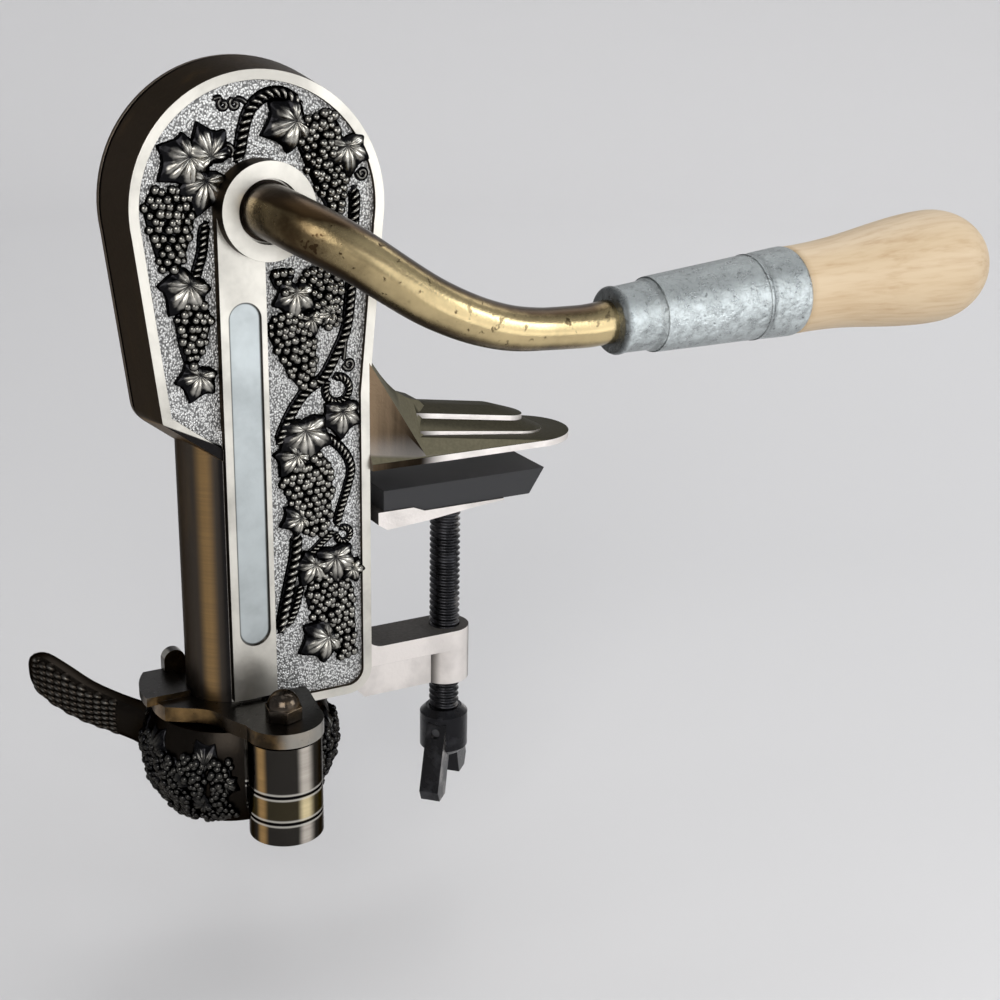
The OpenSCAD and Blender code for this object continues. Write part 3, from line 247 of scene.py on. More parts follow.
class Paint:
    """A procedural material round one Principled shader."""

    def __init__(self, name, metallic=1.0):
        self.material = bpy.data.materials.new(name)
        self.material.use_nodes = True
        self.tree = self.material.node_tree
        self.shader = self.tree.nodes["Principled BSDF"]
        self.place = self.node("ShaderNodeTexCoord", out="Object")
        self.set(Metallic=metallic)

    def node(self, kind, settings=None, inputs=None, out=0):
        """Adds a node: settings first, then each socket's value or link. Returns its output."""
        made = self.tree.nodes.new(kind)
        for key, value in (settings or {}).items():
            setattr(made, key, value)
        for key, value in (inputs or {}).items():
            self.feed(made.inputs[key], value)
        return Value(self, made.outputs[out])

    def feed(self, socket, value):
        if isinstance(value, Value):
            self.tree.links.new(value.socket, socket)
        elif socket.type == "RGBA" and len(value) == 3:
            socket.default_value = (*value, 1.0)
        else:
            socket.default_value = value

    def set(self, **inputs):
        for key, value in inputs.items():
            self.feed(self.shader.inputs[key.replace("_", " ")], value)

    def axis(self, index, vector=None):
        """One coordinate of a vector, or else of the place."""
        return self.node("ShaderNodeSeparateXYZ", None, {0: vector or self.place}, out=index)

    def facing(self):
        """The surface's direction in the object's own frame."""
        return self.node("ShaderNodeTexCoord", out="Normal")

    def to_right(self, facing):
        """How far the surface is turned to the right and a little to the front."""
        return self.axis(0, facing) * 0.87 - self.axis(1, facing) * 0.49

    def stretched(self, scale):
        return self.node("ShaderNodeMapping", None, {"Vector": self.place, "Scale": scale})

    def noise(self, scale, detail=3, rough=0.55, stretch=None):
        place = self.stretched(stretch) if stretch else self.place
        inputs = {"Vector": place, "Scale": scale, "Detail": detail, "Roughness": rough}
        return self.node("ShaderNodeTexNoise", None, inputs)

    def cells(self, scale, stretch):
        return self.node("ShaderNodeTexVoronoi", None, {"Vector": self.stretched(stretch), "Scale": scale})

    def mix(self, share, a, b):
        """Colour a at share 0, b at share 1."""
        return self.node("ShaderNodeMix", {"data_type": "RGBA"}, {0: share, 6: a, 7: b}, out=2)

    def done(self, base, rough, height=None, distance=0.0, strength=0.0, **others):
        """Sets colour, roughness, the bump of a height and other inputs, and returns the material."""
        if height:
            inputs = {"Height": height, "Distance": distance, "Strength": strength}
            others["Normal"] = self.node("ShaderNodeBump", None, inputs)
        self.set(Base_Color=base, Roughness=rough, **others)
        return self.material


SLANT = (0.40, 0.39, 0.38, 1.0)  # tint of a metal's reflection at a slant


def tone(rgb, factor):
    """A colour made lighter or darker."""
    return tuple(min(1.0, c * factor) for c in rgb)


def housing_paint():
    """Pale plating on faces turned to the front, a pebbled grey field with black hollows, bronze sides.

    The field lies right of the barrel, and left of it above the slope of the shoulder. Dark lines follow the
    seam and the outline of the bar's recess. The barrel has a painted highlight, a narrow golden line where
    its surface turns a given way, and painted shade past it, which makes it black there.
    """
    h = look("housing")
    p = Paint("housing_casting")
    x, y, z = (p.axis(i) for i in range(3))
    facing = p.facing()
    right = (x - BARREL_RIGHT).step(-0.0002, 0.0002)
    above = (z + x * SHOULDER_SLOPE + SHOULDER_DROP).step(-0.0002, 0.0002)
    cast = right.most(above)
    front = (-p.axis(1, facing)).step(0.55, 0.8) * cast
    low = y.step(*FIELD_DEPTH) * front
    wear = p.noise(45, 5).step(0.30, 0.62)
    fine = p.noise(900)
    streak = p.noise(30, 4, 0.6, (4, 4, 0.6)).step(0.5, 0.85) * 0.15
    # Painted highlight: a golden line down the barrel where its surface faces a given way, broken up by
    # brushing marks; painted shade past it makes the barrel black.
    turn = p.axis(0, facing)
    brushed = 0.45 + p.noise(20, 3, 0.6, (1, 1, 60)) * 0.7
    line = turn.band(-0.87, -0.74, -0.68, -0.50) * (1.0 - cast) * brushed
    shade = turn.step(-0.55, -0.38) * (1.0 - cast) * 0.9
    bronze = p.mix(streak.most(line * 0.9), h.bronze, h.gold)
    bronze = p.mix(shade, bronze, h.patina_and_shade)
    bronze = p.mix(y.band(*SEAM) * 0.9, bronze, h.patina_and_shade)
    pebble = p.cells(1900, (1.0, 1.0, 0.75)) + (p.noise(700, 2) - 0.5) * 0.3
    field = p.mix(pebble.step(0.20, 0.75), h.field, tone(h.field, 0.22))
    aside = x - (RECESS_X + SEAT[0]) * MM
    beyond = (abs(z - (RECESS_MID + SEAT[2]) * MM) - RECESS_HALF * MM).most(0.0)
    edge = (aside * aside + beyond * beyond) ** 0.5 - RECESS_R * MM
    plate = p.mix(wear, tone(h.plate, 0.72), tone(h.plate, 1.08))
    bar = p.mix(wear, tone(h.bar, 0.8), tone(h.bar, 1.1))
    plate = p.mix(1.0 - edge.step(-0.0003, 0.0), plate, bar)
    plate = p.mix(edge.band(-0.0007, -0.0002, 0.0, 0.0003) * 0.8, plate, h.patina_and_shade)
    base = p.mix(low, p.mix(front, bronze, plate), field)
    rough = 0.26 + fine * 0.16 + low * 0.16
    height = fine * 0.08 + low * (1.0 - pebble)
    return p.done(base, rough, height, 0.0005, 0.55, Specular_Tint=SLANT)


def plated_paint(name, bright, dark, cove=None, flange=None):
    """Plating rubbed bright on faces turned to the front, with painted shade, a dark matt copy, on top and at
    both ends.

    A cove next to the housing may be brown, with painted shade that makes it darker low down and away from
    it, and a lighter painted copy of the top on the slope over it. A painted shadow, a dark line, may run
    under a flange, whose height is given.
    """
    p = Paint(name)
    wear = p.noise(55, 4).step(0.30, 0.62)
    fine = p.noise(1100)
    facing = p.facing()
    up = p.axis(2, facing)
    # Painted shade: faces turned up get a dark, matt copy of the plating.
    flat = up.step(0.12, 0.35)
    painted_shade = flat
    # Painted shadow: a dark line on the web just under the flange.
    if flange:
        under = (p.axis(2) - flange).band(-0.0014, -0.0006, -0.0001, 0.0001)
        painted_shade = painted_shade.most(under * (1.0 - p.axis(0).step(*FLANGE_END)) * 0.9)
    # Painted shade on both ends, on faces turned to the sides.
    if not cove:
        painted_shade = painted_shade.most(abs(p.axis(0, facing)).step(0.55, 0.9))
    side = p.mix(wear, tone(bright, 0.80), tone(bright, 1.06))
    base = p.mix(painted_shade, side, p.mix(fine, tone(dark, 0.6), tone(dark, 1.45)))
    if cove:
        # Painted light and shade: the slope over the cove is a lighter copy of the dark top, and the cove is
        # darker low down and away from the housing.
        slope = flat * (1.0 - up.step(0.50, 0.80))
        base = p.mix(slope, base, p.mix(fine, tone(dark, 2.3), tone(dark, 4.2)))
        near = (1.0 - p.axis(0).step(*COVE_END)) * (1.0 - flat)
        streak = p.noise(25, 4, 0.6, (9, 9, 0.7)) * 0.5
        shade = ((p.axis(0) - COVE_X) * 28.0 - p.axis(2) * 16.0 + streak).step(-0.2, 0.6)
        base = p.mix(near, base, p.mix(shade, tone(cove, 1.5), tone(cove, 0.1)))
    p.set(Metallic=1.0 - painted_shade * 0.9, Specular_IOR_Level=0.02)
    return p.done(base, 0.24 + fine * 0.2 + painted_shade * 0.2, fine, 0.0003, 0.3)


def edged_paint(name):
    """Bronze plate: black on top, its upright edge golden with pale patches and a painted highlight on the
    lobe's right side, and rubbed pale at both rims, with a painted highlight there too.
    """
    h = look("housing")
    p = Paint(name)
    patch = p.noise(70, 4, 0.6).step(0.42, 0.74)
    fine = p.noise(1000)
    facing = p.facing()
    level = abs(p.axis(2, facing))
    upright = 1.0 - level.step(0.2, 0.6)
    base = p.mix(upright * (0.06 + patch * 0.7), tone(h.bronze, 0.22), tone(h.gold, 0.9))
    # Painted highlight: the lobe's edge turned to the right is pale, and random pale patches join it.
    lobe = p.axis(0).step(*LOBE_START) * p.to_right(facing).step(-0.15, 0.35)
    pale = (lobe * 0.6).most(p.noise(45).step(0.56, 0.68) * 0.5)
    base = p.mix(upright * pale, base, tone(h.plate, 0.75))
    # Pale on the bevels at both rims: rubbed metal, and with it a painted highlight.
    rubbed = level.band(0.15, 0.4, 0.80, 0.97) * (0.45 + patch * 0.5)
    base = p.mix(rubbed, base, tone(h.plate, 0.85))
    return p.done(base, 0.22 + fine * 0.16, fine, 0.0002, 0.2)


def bronze_paint(name, gold, shade, rough=0.26):
    """Dark bronze with golden rubbed places."""
    h = look("housing")
    p = Paint(name)
    patch = p.noise(55, 5, 0.6).step(0.48, 0.8) * gold
    fine = p.noise(1000)
    base = p.mix(patch, tone(h.bronze, shade), h.gold)
    return p.done(base, rough + fine * 0.16, fine, 0.0002, 0.25, Specular_Tint=SLANT)


def jaw_paint(name, rings):
    """Near-black bronze, with turned knuckles round the hinge in their own metal.

    A knuckle has painted reflections, a warm band on its left and a bright one on its right, and a painted
    highlight, a pale lip, at each gap, which painted shade makes dark.
    """
    h = look("housing")
    p = Paint(name)
    x, y = (p.axis(i) - (HINGE[i] + SEAT[i]) * MM for i in range(2))
    knuckle = 1.0 - ((x * x + y * y) ** 0.5).step(*KNUCKLE_RIM)
    patch = p.noise(60, 5, 0.6).step(0.52, 0.8) * 0.3
    fine = p.noise(1000)
    # Painted reflections on the knuckles: a warm band on the left and a bright one on the right, broken up by
    # brushing marks.
    right = p.to_right(p.facing())
    brushed = 0.55 + p.noise(20, 3, 0.6, (1, 1, 60)) * 0.6
    turned = p.mix(right.band(-0.70, -0.55, -0.50, -0.32) * brushed, tone(rings, 0.09), tone(h.gold, 1.3))
    turned = p.mix(right.band(0.42, 0.60, 0.68, 0.86) * brushed, turned, tone(rings, 1.9))
    first, second = (abs(p.axis(2) - (v + SEAT[2]) * MM) for v in KNUCKLE_JOINTS)
    gap = first.math("MINIMUM", second)
    # Painted highlight on the lip next to each gap, and painted shade in the gap.
    turned = p.mix(gap.band(0.0004, 0.0006, 0.0009, 0.0014) * 0.7, turned, h.plate)
    turned = p.mix((1.0 - gap.step(0.0004, 0.0006)) * 0.95, turned, h.patina_and_shade)
    base = p.mix(knuckle, p.mix(patch * 0.25, tone(h.bronze, 0.22), tone(h.gold, 0.7)), turned)
    rough = 0.24 + fine * 0.12 - knuckle * 0.16
    return p.done(base, rough, fine, 0.0002, 0.15, Specular_Tint=SLANT)


def relief_paint(name, low, high, start=0.45, full=1.15, rough=0.20):
    """Black low down and pale on the tops, by the height kept with each point: dark hollows and rubbed tops
    of the casting, and with them painted shade in the hollows and a painted highlight on the tops.
    """
    p = Paint(name)
    top = p.node("ShaderNodeAttribute", {"attribute_name": "top"}, out="Fac")
    rub = p.noise(350, 4)
    # Dark low down, pale high up: partly the casting's hollows and rubbed tops, partly painted shade and
    # painted highlight.
    share = (top + (rub - 0.5) * 0.5).step(start, full)
    fine = p.noise(1500, 2)
    base = p.mix(share, low, high)
    return p.done(base, rough + fine * 0.08, fine, 0.0002, 0.12, Specular_Tint=SLANT)


def brass_paint():
    """Antique brass with brown patches and spots, and brown painted shade on its upper and lower sides and at
    its root.
    """
    v = look("lever")
    p = Paint("antique_brass")
    along = p.axis(0)
    # Painted shade at the root, next to the collar.
    root_shade = 1.0 - along.step(*ARM_ROOT)
    pale_end = along.step(*ARM_END) * 0.5
    patch = p.noise(32, 6, 0.62).step(0.38, 0.72)
    spots = 1.0 - p.noise(330).step(0.30, 0.38)
    # Painted shade on the upper and lower sides.
    up = p.axis(2, p.facing())
    painted_shade = up.step(0.50, 0.88) * 0.85 + (1.0 - up.step(-0.75, -0.40)) * 0.6
    share = (patch * 0.45 + root_shade * 0.75 + spots * 0.5 + painted_shade - pale_end * 0.6).step(0.0, 1.05)
    fine = p.noise(1200)
    base = p.mix(share, v.brass, v.patina_and_shade)
    return p.done(base, 0.15 + fine * 0.10 + share * 0.10, fine, 0.0002, 0.2)


def zinc_paint():
    """Mottled zinc coat with pits and specks, with painted shade on top and below, dark at its mouth, and
    thin lines of painted shade at its crimp and ring.
    """
    v = look("lever")
    p = Paint("zinc_coat", 0.9)
    mottle = p.noise(300, 6, 0.7).step(0.40, 0.60)
    cloud = p.noise(60).step(0.35, 0.7)
    pits = 1.0 - p.noise(420, 4).step(0.30, 0.38)
    along = p.axis(0)
    mouth = 1.0 - along.step(*MOUTH_RIM)
    # Painted shade: thin dark lines at the crimp's step and at the ring.
    crimp, ring = (1.0 - abs(along - x).step(0.0004, 0.0014) for x in FERRULE_LINES)
    # Painted shade on the sides turned up and down.
    up = p.axis(2, p.facing())
    painted_shade = (up.step(0.15, 0.75) * 0.75).most((1.0 - up.step(-0.85, -0.45)) * 0.45)
    dark = (pits * 0.6).most(mouth * 0.85).most(crimp * 0.28).most(ring * 0.28)
    base = p.mix(mottle * 0.6 + cloud * 0.4, tone(v.zinc, 0.62), tone(v.zinc, 1.15))
    base = p.mix(painted_shade, base, tone(v.zinc, 0.32))
    base = p.mix(dark, base, tone(v.zinc, 0.10))
    return p.done(base, 0.27 + mottle * 0.16, p.noise(420, 5, 0.65), 0.0010, 0.9)


def wood_paint():
    """Pale wood with grain lines along the grip."""
    v = look("lever")
    p = Paint("pale_wood", 0.0)
    grain = p.noise(7, 5, 0.6, (3, 60, 60))
    flecks = p.noise(60, 3, 0.5, (1.2, 9, 9)).step(0.5, 0.7)
    cloud = p.noise(26)
    share = (grain.step(0.35, 0.75) * 0.45 + flecks * 0.25 + cloud * 0.35).step(0.1, 1.0)
    return p.done(p.mix(share, v.wood, v.grain), 0.42 + grain * 0.14, grain, 0.0003, 0.15)


def black_paint():
    """Black oxide with a thin grey rub, and a painted reflection, pale patches on the side turned to the
    right.
    """
    c = look("clamp")
    p = Paint("black_oxide", 0.9)
    rub = p.noise(140, 5).step(0.5, 0.8)
    # Painted reflection: pale patches on faces turned to the right.
    painted_reflection = p.axis(0, p.facing()).step(0.25, 0.55) * p.noise(60).step(0.48, 0.66)
    base = p.mix(rub, c.black, tone(c.black, 3.0))
    return p.done(p.mix(painted_reflection * 0.6, base, tone(c.pewter, 0.5)), 0.27 + rub * 0.15)


def machined_paint(name, rgb, rough=0.3, metallic=1.0):
    """Plain machined finish with fine turning marks."""
    p = Paint(name, metallic)
    marks = p.noise(60, 3, 0.5, (1, 1, 40))
    return p.done(p.mix(marks, tone(rgb, 0.8), tone(rgb, 1.1)), rough + marks * 0.15)


# Shapes


def tube_faces(rows, cols):
    """Quads between neighbouring rings of a closed tube."""
    i, j = np.meshgrid(np.arange(rows - 1), np.arange(cols), indexing="ij")
    k = (j + 1) % cols
    return np.stack([i * cols + j, i * cols + k, (i + 1) * cols + k, (i + 1) * cols + j], -1).reshape(-1, 4)


class Shape:
    """Closed surfaces gathered into one mesh. Each is a start point, rings of points and an end point."""

    def __init__(self):
        self.points, self.quads, self.fans, self.tops, self.count = [], [], [], [], 0

    def add(self, start, rings, end, tops=0.0):
        """Adds alike surfaces at once: start and end (n, 3), rings (n, rows, cols, 3), tops for every point.

        Where the first one's volume comes out negative, all are turned to face outwards.
        """
        n, rows, cols = rings.shape[:3]
        flat = np.concatenate([start[:, None], rings.reshape(n, -1, 3), end[:, None]], 1)
        size = flat.shape[1]
        j = np.arange(cols)
        k = (j + 1) % cols
        last = (rows - 1) * cols + 1
        quads = tube_faces(rows, cols) + 1
        fans = np.concatenate(
            [np.stack([0 * j, k + 1, j + 1], 1), np.stack([0 * j + size - 1, last + j, last + k], 1)]
        )
        corners = np.concatenate([quads[:, :3], quads[:, [0, 2, 3]], fans])
        a, b, c = np.moveaxis(flat[0][corners] - flat[0].mean(0), 1, 0)
        if (np.cross(a, b) * c).sum() < 0:
            quads, fans = quads[:, ::-1], fans[:, ::-1]
        offset = self.count + (np.arange(n) * size)[:, None, None]
        self.points.append(flat.reshape(-1, 3))
        self.quads.append((quads[None] + offset).reshape(-1, 4))
        self.fans.append((fans[None] + offset).reshape(-1, 3))
        self.tops.append(np.broadcast_to(tops, (n, size)).reshape(-1))
        self.count += n * size

    def make(self, name, body, material, slot, replaces=()):
        """Makes the mesh object, riding on a CAD body."""
        if not self.count:
            raise RuntimeError(name + " has no surface")
        mesh = bpy.data.meshes.new(name)
        faces = np.concatenate(self.quads).tolist() + np.concatenate(self.fans).tolist()
        mesh.from_pydata(to_frame(np.concatenate(self.points)).tolist(), [], faces)
        mesh.shade_smooth()
        top = mesh.attributes.new("top", "FLOAT", "POINT")
        top.data.foreach_set("value", np.concatenate(self.tops).astype(np.float32))
        place(bpy.data.objects.new(name, mesh), body, material, slot, replaces)


def place(obj, body, material, slot, replaces):
    """Links a new piece to the scene with its material and body. The slot is not used."""
    bpy.context.scene.collection.objects.link(obj)
    obj.data.materials.append(material)
    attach(obj, body)
    if replaces:
        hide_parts(*replaces)
    return obj


def merged(node, body, material, slot, edge, smooth=32.0, corners=()):
    """Copy of a CAD node with its triangles joined, flat faces made whole, and its edges rounded.

    Each of the corners, an X, a Y and a radius in millimetres, rounds the upright edge next to it.
    """
    source = frame["nodes"][node].data
    co = np.empty(len(source.vertices) * 3)
    source.vertices.foreach_get("co", co)
    corner = np.empty(len(source.loops), int)
    source.loops.foreach_get("vertex_index", corner)
    points, inverse = np.unique(np.round(co.reshape(-1, 3), 7), axis=0, return_inverse=True)
    faces = inverse.reshape(-1)[corner].reshape(-1, 3)
    a, b, c = faces.T
    faces = faces[(a != b) & (b != c) & (c != a)]
    mesh = bpy.data.meshes.new(node + "_cast")
    mesh.from_pydata(points.tolist(), [], faces.tolist())
    work = bmesh.new()
    work.from_mesh(mesh)
    bmesh.ops.dissolve_limit(work, angle_limit=FLAT, verts=work.verts, edges=work.edges)
    for x, y, radius in corners:
        at = to_frame([[x, y, 0.0]])[0, :2]
        near = [v for v in work.edges if max(np.hypot(*(np.array(q.co.xy) - at)) for q in v.verts) < MM]
        upright = [v for v in near if abs(v.verts[0].co.z - v.verts[1].co.z) > 2 * MM]
        if upright:
            size = {"offset": radius * MM, "segments": CORNER_STEPS, "profile": 0.5}
            bmesh.ops.bevel(work, geom=upright, affect="EDGES", **size)
    work.to_mesh(mesh)
    work.free()
    mesh.shade_smooth()
    mesh.set_sharp_from_angle(angle=math.radians(smooth))
    obj = place(bpy.data.objects.new(node + "_cast", mesh), body, material, slot, (node,))
    bevel = obj.modifiers.new("rounded_edges", "BEVEL")
    bevel.width = edge
    bevel.segments = 2
    bevel.limit_method = "ANGLE"
    bevel.angle_limit = math.radians(smooth)
    bevel.use_clamp_overlap = True
    level = obj.modifiers.new("level_faces", "WEIGHTED_NORMAL")
    level.keep_sharp = True


def repaint(material, node):
    """Gives a CAD node a material."""
    slots = frame["nodes"][node].data.materials
    slots.clear()
    slots.append(material)


def around(count):
    """Angles of so many points round a full turn."""
    return np.linspace(0, 2 * np.pi, count, endpoint=False)


def heading(line):
    """Direction of a line at each point, of length 1."""
    way = np.gradient(line, axis=0)
    return way / np.linalg.norm(way, axis=1, keepdims=True)


def run_along(flat):
    """Distance along a flat line, at each point."""
    return np.concatenate([[0], np.cumsum(np.hypot(*np.diff(flat, axis=0).T))])


def curve_through(points, steps):
    """Smooth line through the points: a cubic between each two, sloped at a point as its neighbours lie."""
    p = np.asarray(points, float)
    p = np.concatenate([[2 * p[0] - p[1]], p, [2 * p[-1] - p[-2]]])
    t = np.linspace(0, 1, steps, endpoint=False)[None, :, None]
    a, b, c, d = (p[i : len(p) - 3 + i][:, None] for i in range(4))
    line = 0.5 * (2 * b + (c - a) * t + (2 * a - 5 * b + 4 * c - d) * t**2 + (3 * b - a - 3 * c + d) * t**3)
    return np.concatenate([line.reshape(-1, p.shape[1]), p[-2:-1]])


def tube(line, radius, sides):
    """Rings of a tube: at each point of the line a circle square to the line's direction."""
    way = heading(line)
    u = np.cross(way, (0.0, 0.0, 1.0))
    u /= np.linalg.norm(u, axis=1, keepdims=True)
    v = np.cross(u, way)
    a = around(sides)
    r = np.broadcast_to(radius, len(line))[:, None, None]
    return line[:, None] + r * (np.cos(a)[None, :, None] * u[:, None] + np.sin(a)[None, :, None] * v[:, None])


def lathe(radii, heights, sides=64):
    """Rings turned round Z: a radius at each height."""
    a = around(sides)
    r, z = np.asarray(radii)[:, None], np.asarray(heights)[:, None]
    return np.stack([r * np.cos(a), r * np.sin(a), z + 0 * a], -1)


def on_field(u, v, h):
    """Ornament's plane: u is X, v is Z, h stands off the housing's field to the front."""
    return np.stack(np.broadcast_arrays(u, FIELD_Y - h, v), -1)


def jaw_surface(side):
    """Ornament's surface on a jaw, whose belly is fullest at two fifths of its height.

    u runs round the neck from the hinge, v is the drop from the top, and h stands off.
    """
    start = math.atan2(*(NECK - HINGE)[::-1]) - (0.0 if side < 0 else JAW_OPEN)
    centre = HINGE + HINGE_REACH * np.array([math.cos(start), math.sin(start)])

    def lay(u, v, h):
        r = JAW_R - BELLY_DEPTH * np.abs(v / JAW_HEIGHT - BELLY_AT) ** BELLY_POWER + h
        a = start + math.pi + side * u / JAW_R
        x, y = centre[0] + r * np.cos(a), centre[1] + r * np.sin(a)
        return np.stack(np.broadcast_arrays(x, y, JAW_TOP - v), -1)

    return lay


# Degrees from the middle lobe: the lobes, and the outline with its reach
LEAF_LOBES = np.array([0, 54, 112])
LEAF_EDGE = (
    [0, 10, 27, 40, 54, 68, 84, 98, 112, 130, 155, 180],
    [1.0, 0.88, 0.70, 0.74, 0.86, 0.71, 0.56, 0.59, 0.63, 0.48, 0.33, 0.24],
)


def leaf(shape, lay, at, size, turn, height, base=0.0):
    """Vine leaf: five pointed lobes round the stalk, a groove down each and folds between, on a skirt of
    painted shade.

    The outline is a reach for each direction seen from the stalk's end, with small teeth. The height is a
    bowl times a fold, which goes by the angle from the nearest lobe, with ribs that run out from the groove.
    """
    cols, stalk = 72, 0.4
    a = np.linspace(-np.pi, np.pi, cols, endpoint=False)
    away = np.degrees(np.abs(a))
    teeth = 1 + 0.05 * (np.abs((a * 13 / np.pi) % 2 - 1) - 0.5)
    edge = np.interp(away, *LEAF_EDGE) * teeth
    near = np.clip(np.abs(away[:, None] - LEAF_LOBES).min(1) / 27, 0, 1)
    fold = np.interp(near, [0, 0.12, 0.5, 1], [0.52, 0.86, 1.0, 0.48])
    s = np.array([0.10, 0.22, 0.36, 0.50, 0.64, 0.77, 0.88, 0.96, 1.0])[:, None]
    rib = 0.10 * np.sin(2 * np.pi * (3.4 * s - 1.1 * near))
    fold = 1 - (1 - fold) * np.clip(0.15 + 1.9 * s, 0, 1)
    bowl = (0.55 + 0.45 * np.clip(s / 0.4, 0, 1)) * (1 - 0.70 * s**3) * (1 + 0.22 * s * np.sin(a))
    h = height * np.clip(bowl * (0.30 + 0.70 * (fold + rib * s)), 0.12, 1.15)
    reach = 1.4 * size
    # A thin, low skirt round the leaf, dark by its height: painted shade on the field.
    shade_skirt = 0.55 / reach
    s = np.concatenate([s, [[1 + shade_skirt], [1 + shade_skirt]]])
    h = np.concatenate([h, np.full((1, cols), 0.06), np.full((1, cols), SUNK)])
    x, y = reach * (s * edge * np.cos(a) - stalk), reach * s * edge * np.sin(a)
    c, w = math.cos(math.radians(turn)), math.sin(math.radians(turn))
    lift = np.concatenate([np.full(len(h) - 2, base), [0, 0]])[:, None]
    rings = lay(at[0] + x * c - y * w, at[1] + x * w + y * c, h + lift)[None]
    end = np.array([at[0] - stalk * reach * c]), np.array([at[1] - stalk * reach * w])
    pole, under = (lay(*end, np.array([v])) for v in (base + height * 0.5, SUNK))
    tops = np.concatenate([[0.5], np.clip(h / height, 0, 1).ravel(), [0.0]])
    shape.add(pole, rings, under, tops[None])


def grapes(shape, lay, top, low, width, radius, seed):
    """Bunch of grapes: balls in staggered rows that narrow from top to low, on a mound whose dark is painted
    shade.

    Half the width goes by the root of the way left to the tip. The balls rise to the middle as a parabola,
    and each is moved and sized by a small random share.
    """
    top, low = np.asarray(top, float), np.asarray(low, float)
    down = low - top
    span = np.hypot(*down)
    down /= span
    side = np.array([-down[1], down[0]])

    def half(share):
        return 0.5 * width * np.sqrt(np.clip(1.06 - share, 0, 1)) * np.clip(0.62 + 1.8 * share, 0, 1)

    def spot(share, across):
        return [top[i] + down[i] * share * span + side[i] * across for i in range(2)]

    pitch = 1.52 * radius
    rows = max(2, int(span / (0.87 * pitch)))
    k, j = np.meshgrid(np.arange(rows + 1), np.arange(-12, 13), indexing="ij")
    share = k / rows
    across = (j + 0.5 * (k % 2)) * pitch
    keep = np.abs(across) <= half(share) + 0.2 * pitch
    jitter = np.random.default_rng(seed).uniform(-0.36, 0.36, (4, *k.shape)) * radius
    rise = radius * (0.10 + 0.95 * np.clip(1 - (across / (half(share) + 0.6)) ** 2, 0, 1)) + jitter[2]
    u, v = (x + move for x, move in zip(spot(share, across), jitter))
    u, v, rise, size = u[keep], v[keep], rise[keep], radius + 0.4 * jitter[3][keep]
    lat = np.radians([62, 34, 6, -30])[:, None]
    lon = around(10)
    flat = np.cos(lat)
    ball = np.stack(np.broadcast_arrays(flat * np.cos(lon), flat * np.sin(lon), np.sin(lat)), -1)
    p = ball * size[:, None, None, None]
    rings = lay(u[:, None, None] + p[..., 0], v[:, None, None] + p[..., 1], rise[:, None, None] + p[..., 2])
    # Painted highlight: each ball is pale on top and darker round its sides.
    tops = np.concatenate([[0.95], (0.30 + 0.55 * np.sin(lat + 0 * lon)).ravel(), [0.0]])
    shape.add(lay(u, v, rise + size), rings, lay(u, v, rise - size), tops[None])
    # A low mound under the balls fills their gaps; it is dark, painted shade round the bunch.
    t = np.linspace(0.02, 1.03, 16)
    rim = np.stack([t, half(t) + 0.5 * radius], 1)
    rim = np.concatenate([rim, rim[::-1] * (1, -1)])
    scale = np.array([0.5, 0.85, 1.0, 1.0])[:, None]
    middle = 0.5
    share, across = middle + (rim[:, 0] - middle) * scale, rim[:, 1] * scale
    shade_mound = lay(*spot(share, across), np.array([0.9, 0.5, 0.06, SUNK])[:, None])
    at = (top + down * span * middle)[:, None]
    peak, under = (lay(*at, np.array([h])) for h in (1.0, SUNK))
    shape.add(peak, shade_mound[None], under)


def rope(shape, lay, points, radius, strands=2):
    """Vine stem: strands wound round a smooth line, or one plain strand, on a flat ribbon of painted shade.
    """
    flat = curve_through(points, 16)
    run = run_along(flat)
    way = heading(flat)
    across = np.stack([-way[:, 1], way[:, 0]], 1)
    taper = np.clip(np.minimum(run, run[-1] - run) / (2 * radius), 0.35, 1)
    a = around(6)
    wide, thick, off = (1.0, radius, 0.0) if strands == 1 else (1.55, 0.8 * radius, 0.8 * radius)
    # The flat ribbon lies low, so it is dark: painted shade along the stem.
    parts = [(0.0 * run, 0.0 * run, (wide * radius + 0.45) * taper, 0.09)]
    for i in range(strands):
        phase = 2 * np.pi * (run / (4.2 * radius) + i / strands)
        parts.append((off * np.cos(phase), 0.55 * radius + off * np.sin(phase), thick * taper, 1.0))
    for aside, up, r, flatness in parts:
        side = aside[:, None] + r[:, None] * np.cos(a)
        rise = up[:, None] + r[:, None] * np.sin(a) * flatness
        rings = lay(flat[:, :1] + across[:, :1] * side, flat[:, 1:] + across[:, 1:] * side, rise)
        tops = np.concatenate([[0.1], np.clip(rise / (2.0 * radius), 0, 1).ravel(), [0.1]])
        shape.add(rings[:1].mean(1), rings[None], rings[-1:].mean(1), tops[None])


def curl(shape, lay, at, size, turn, turns, radius, close=0.82):
    """Tendril: a strand along a spiral that closes in on its end, or a ring where it doesn't close in."""
    t = np.linspace(0, 1, 14)
    a = math.radians(turn) + 2 * np.pi * turns * t
    r = size * (1 - close * t)
    line = np.stack([at[0] + r * np.cos(a), at[1] + r * np.sin(a)], 1)
    rope(shape, lay, line, radius, 1 if close else 2)


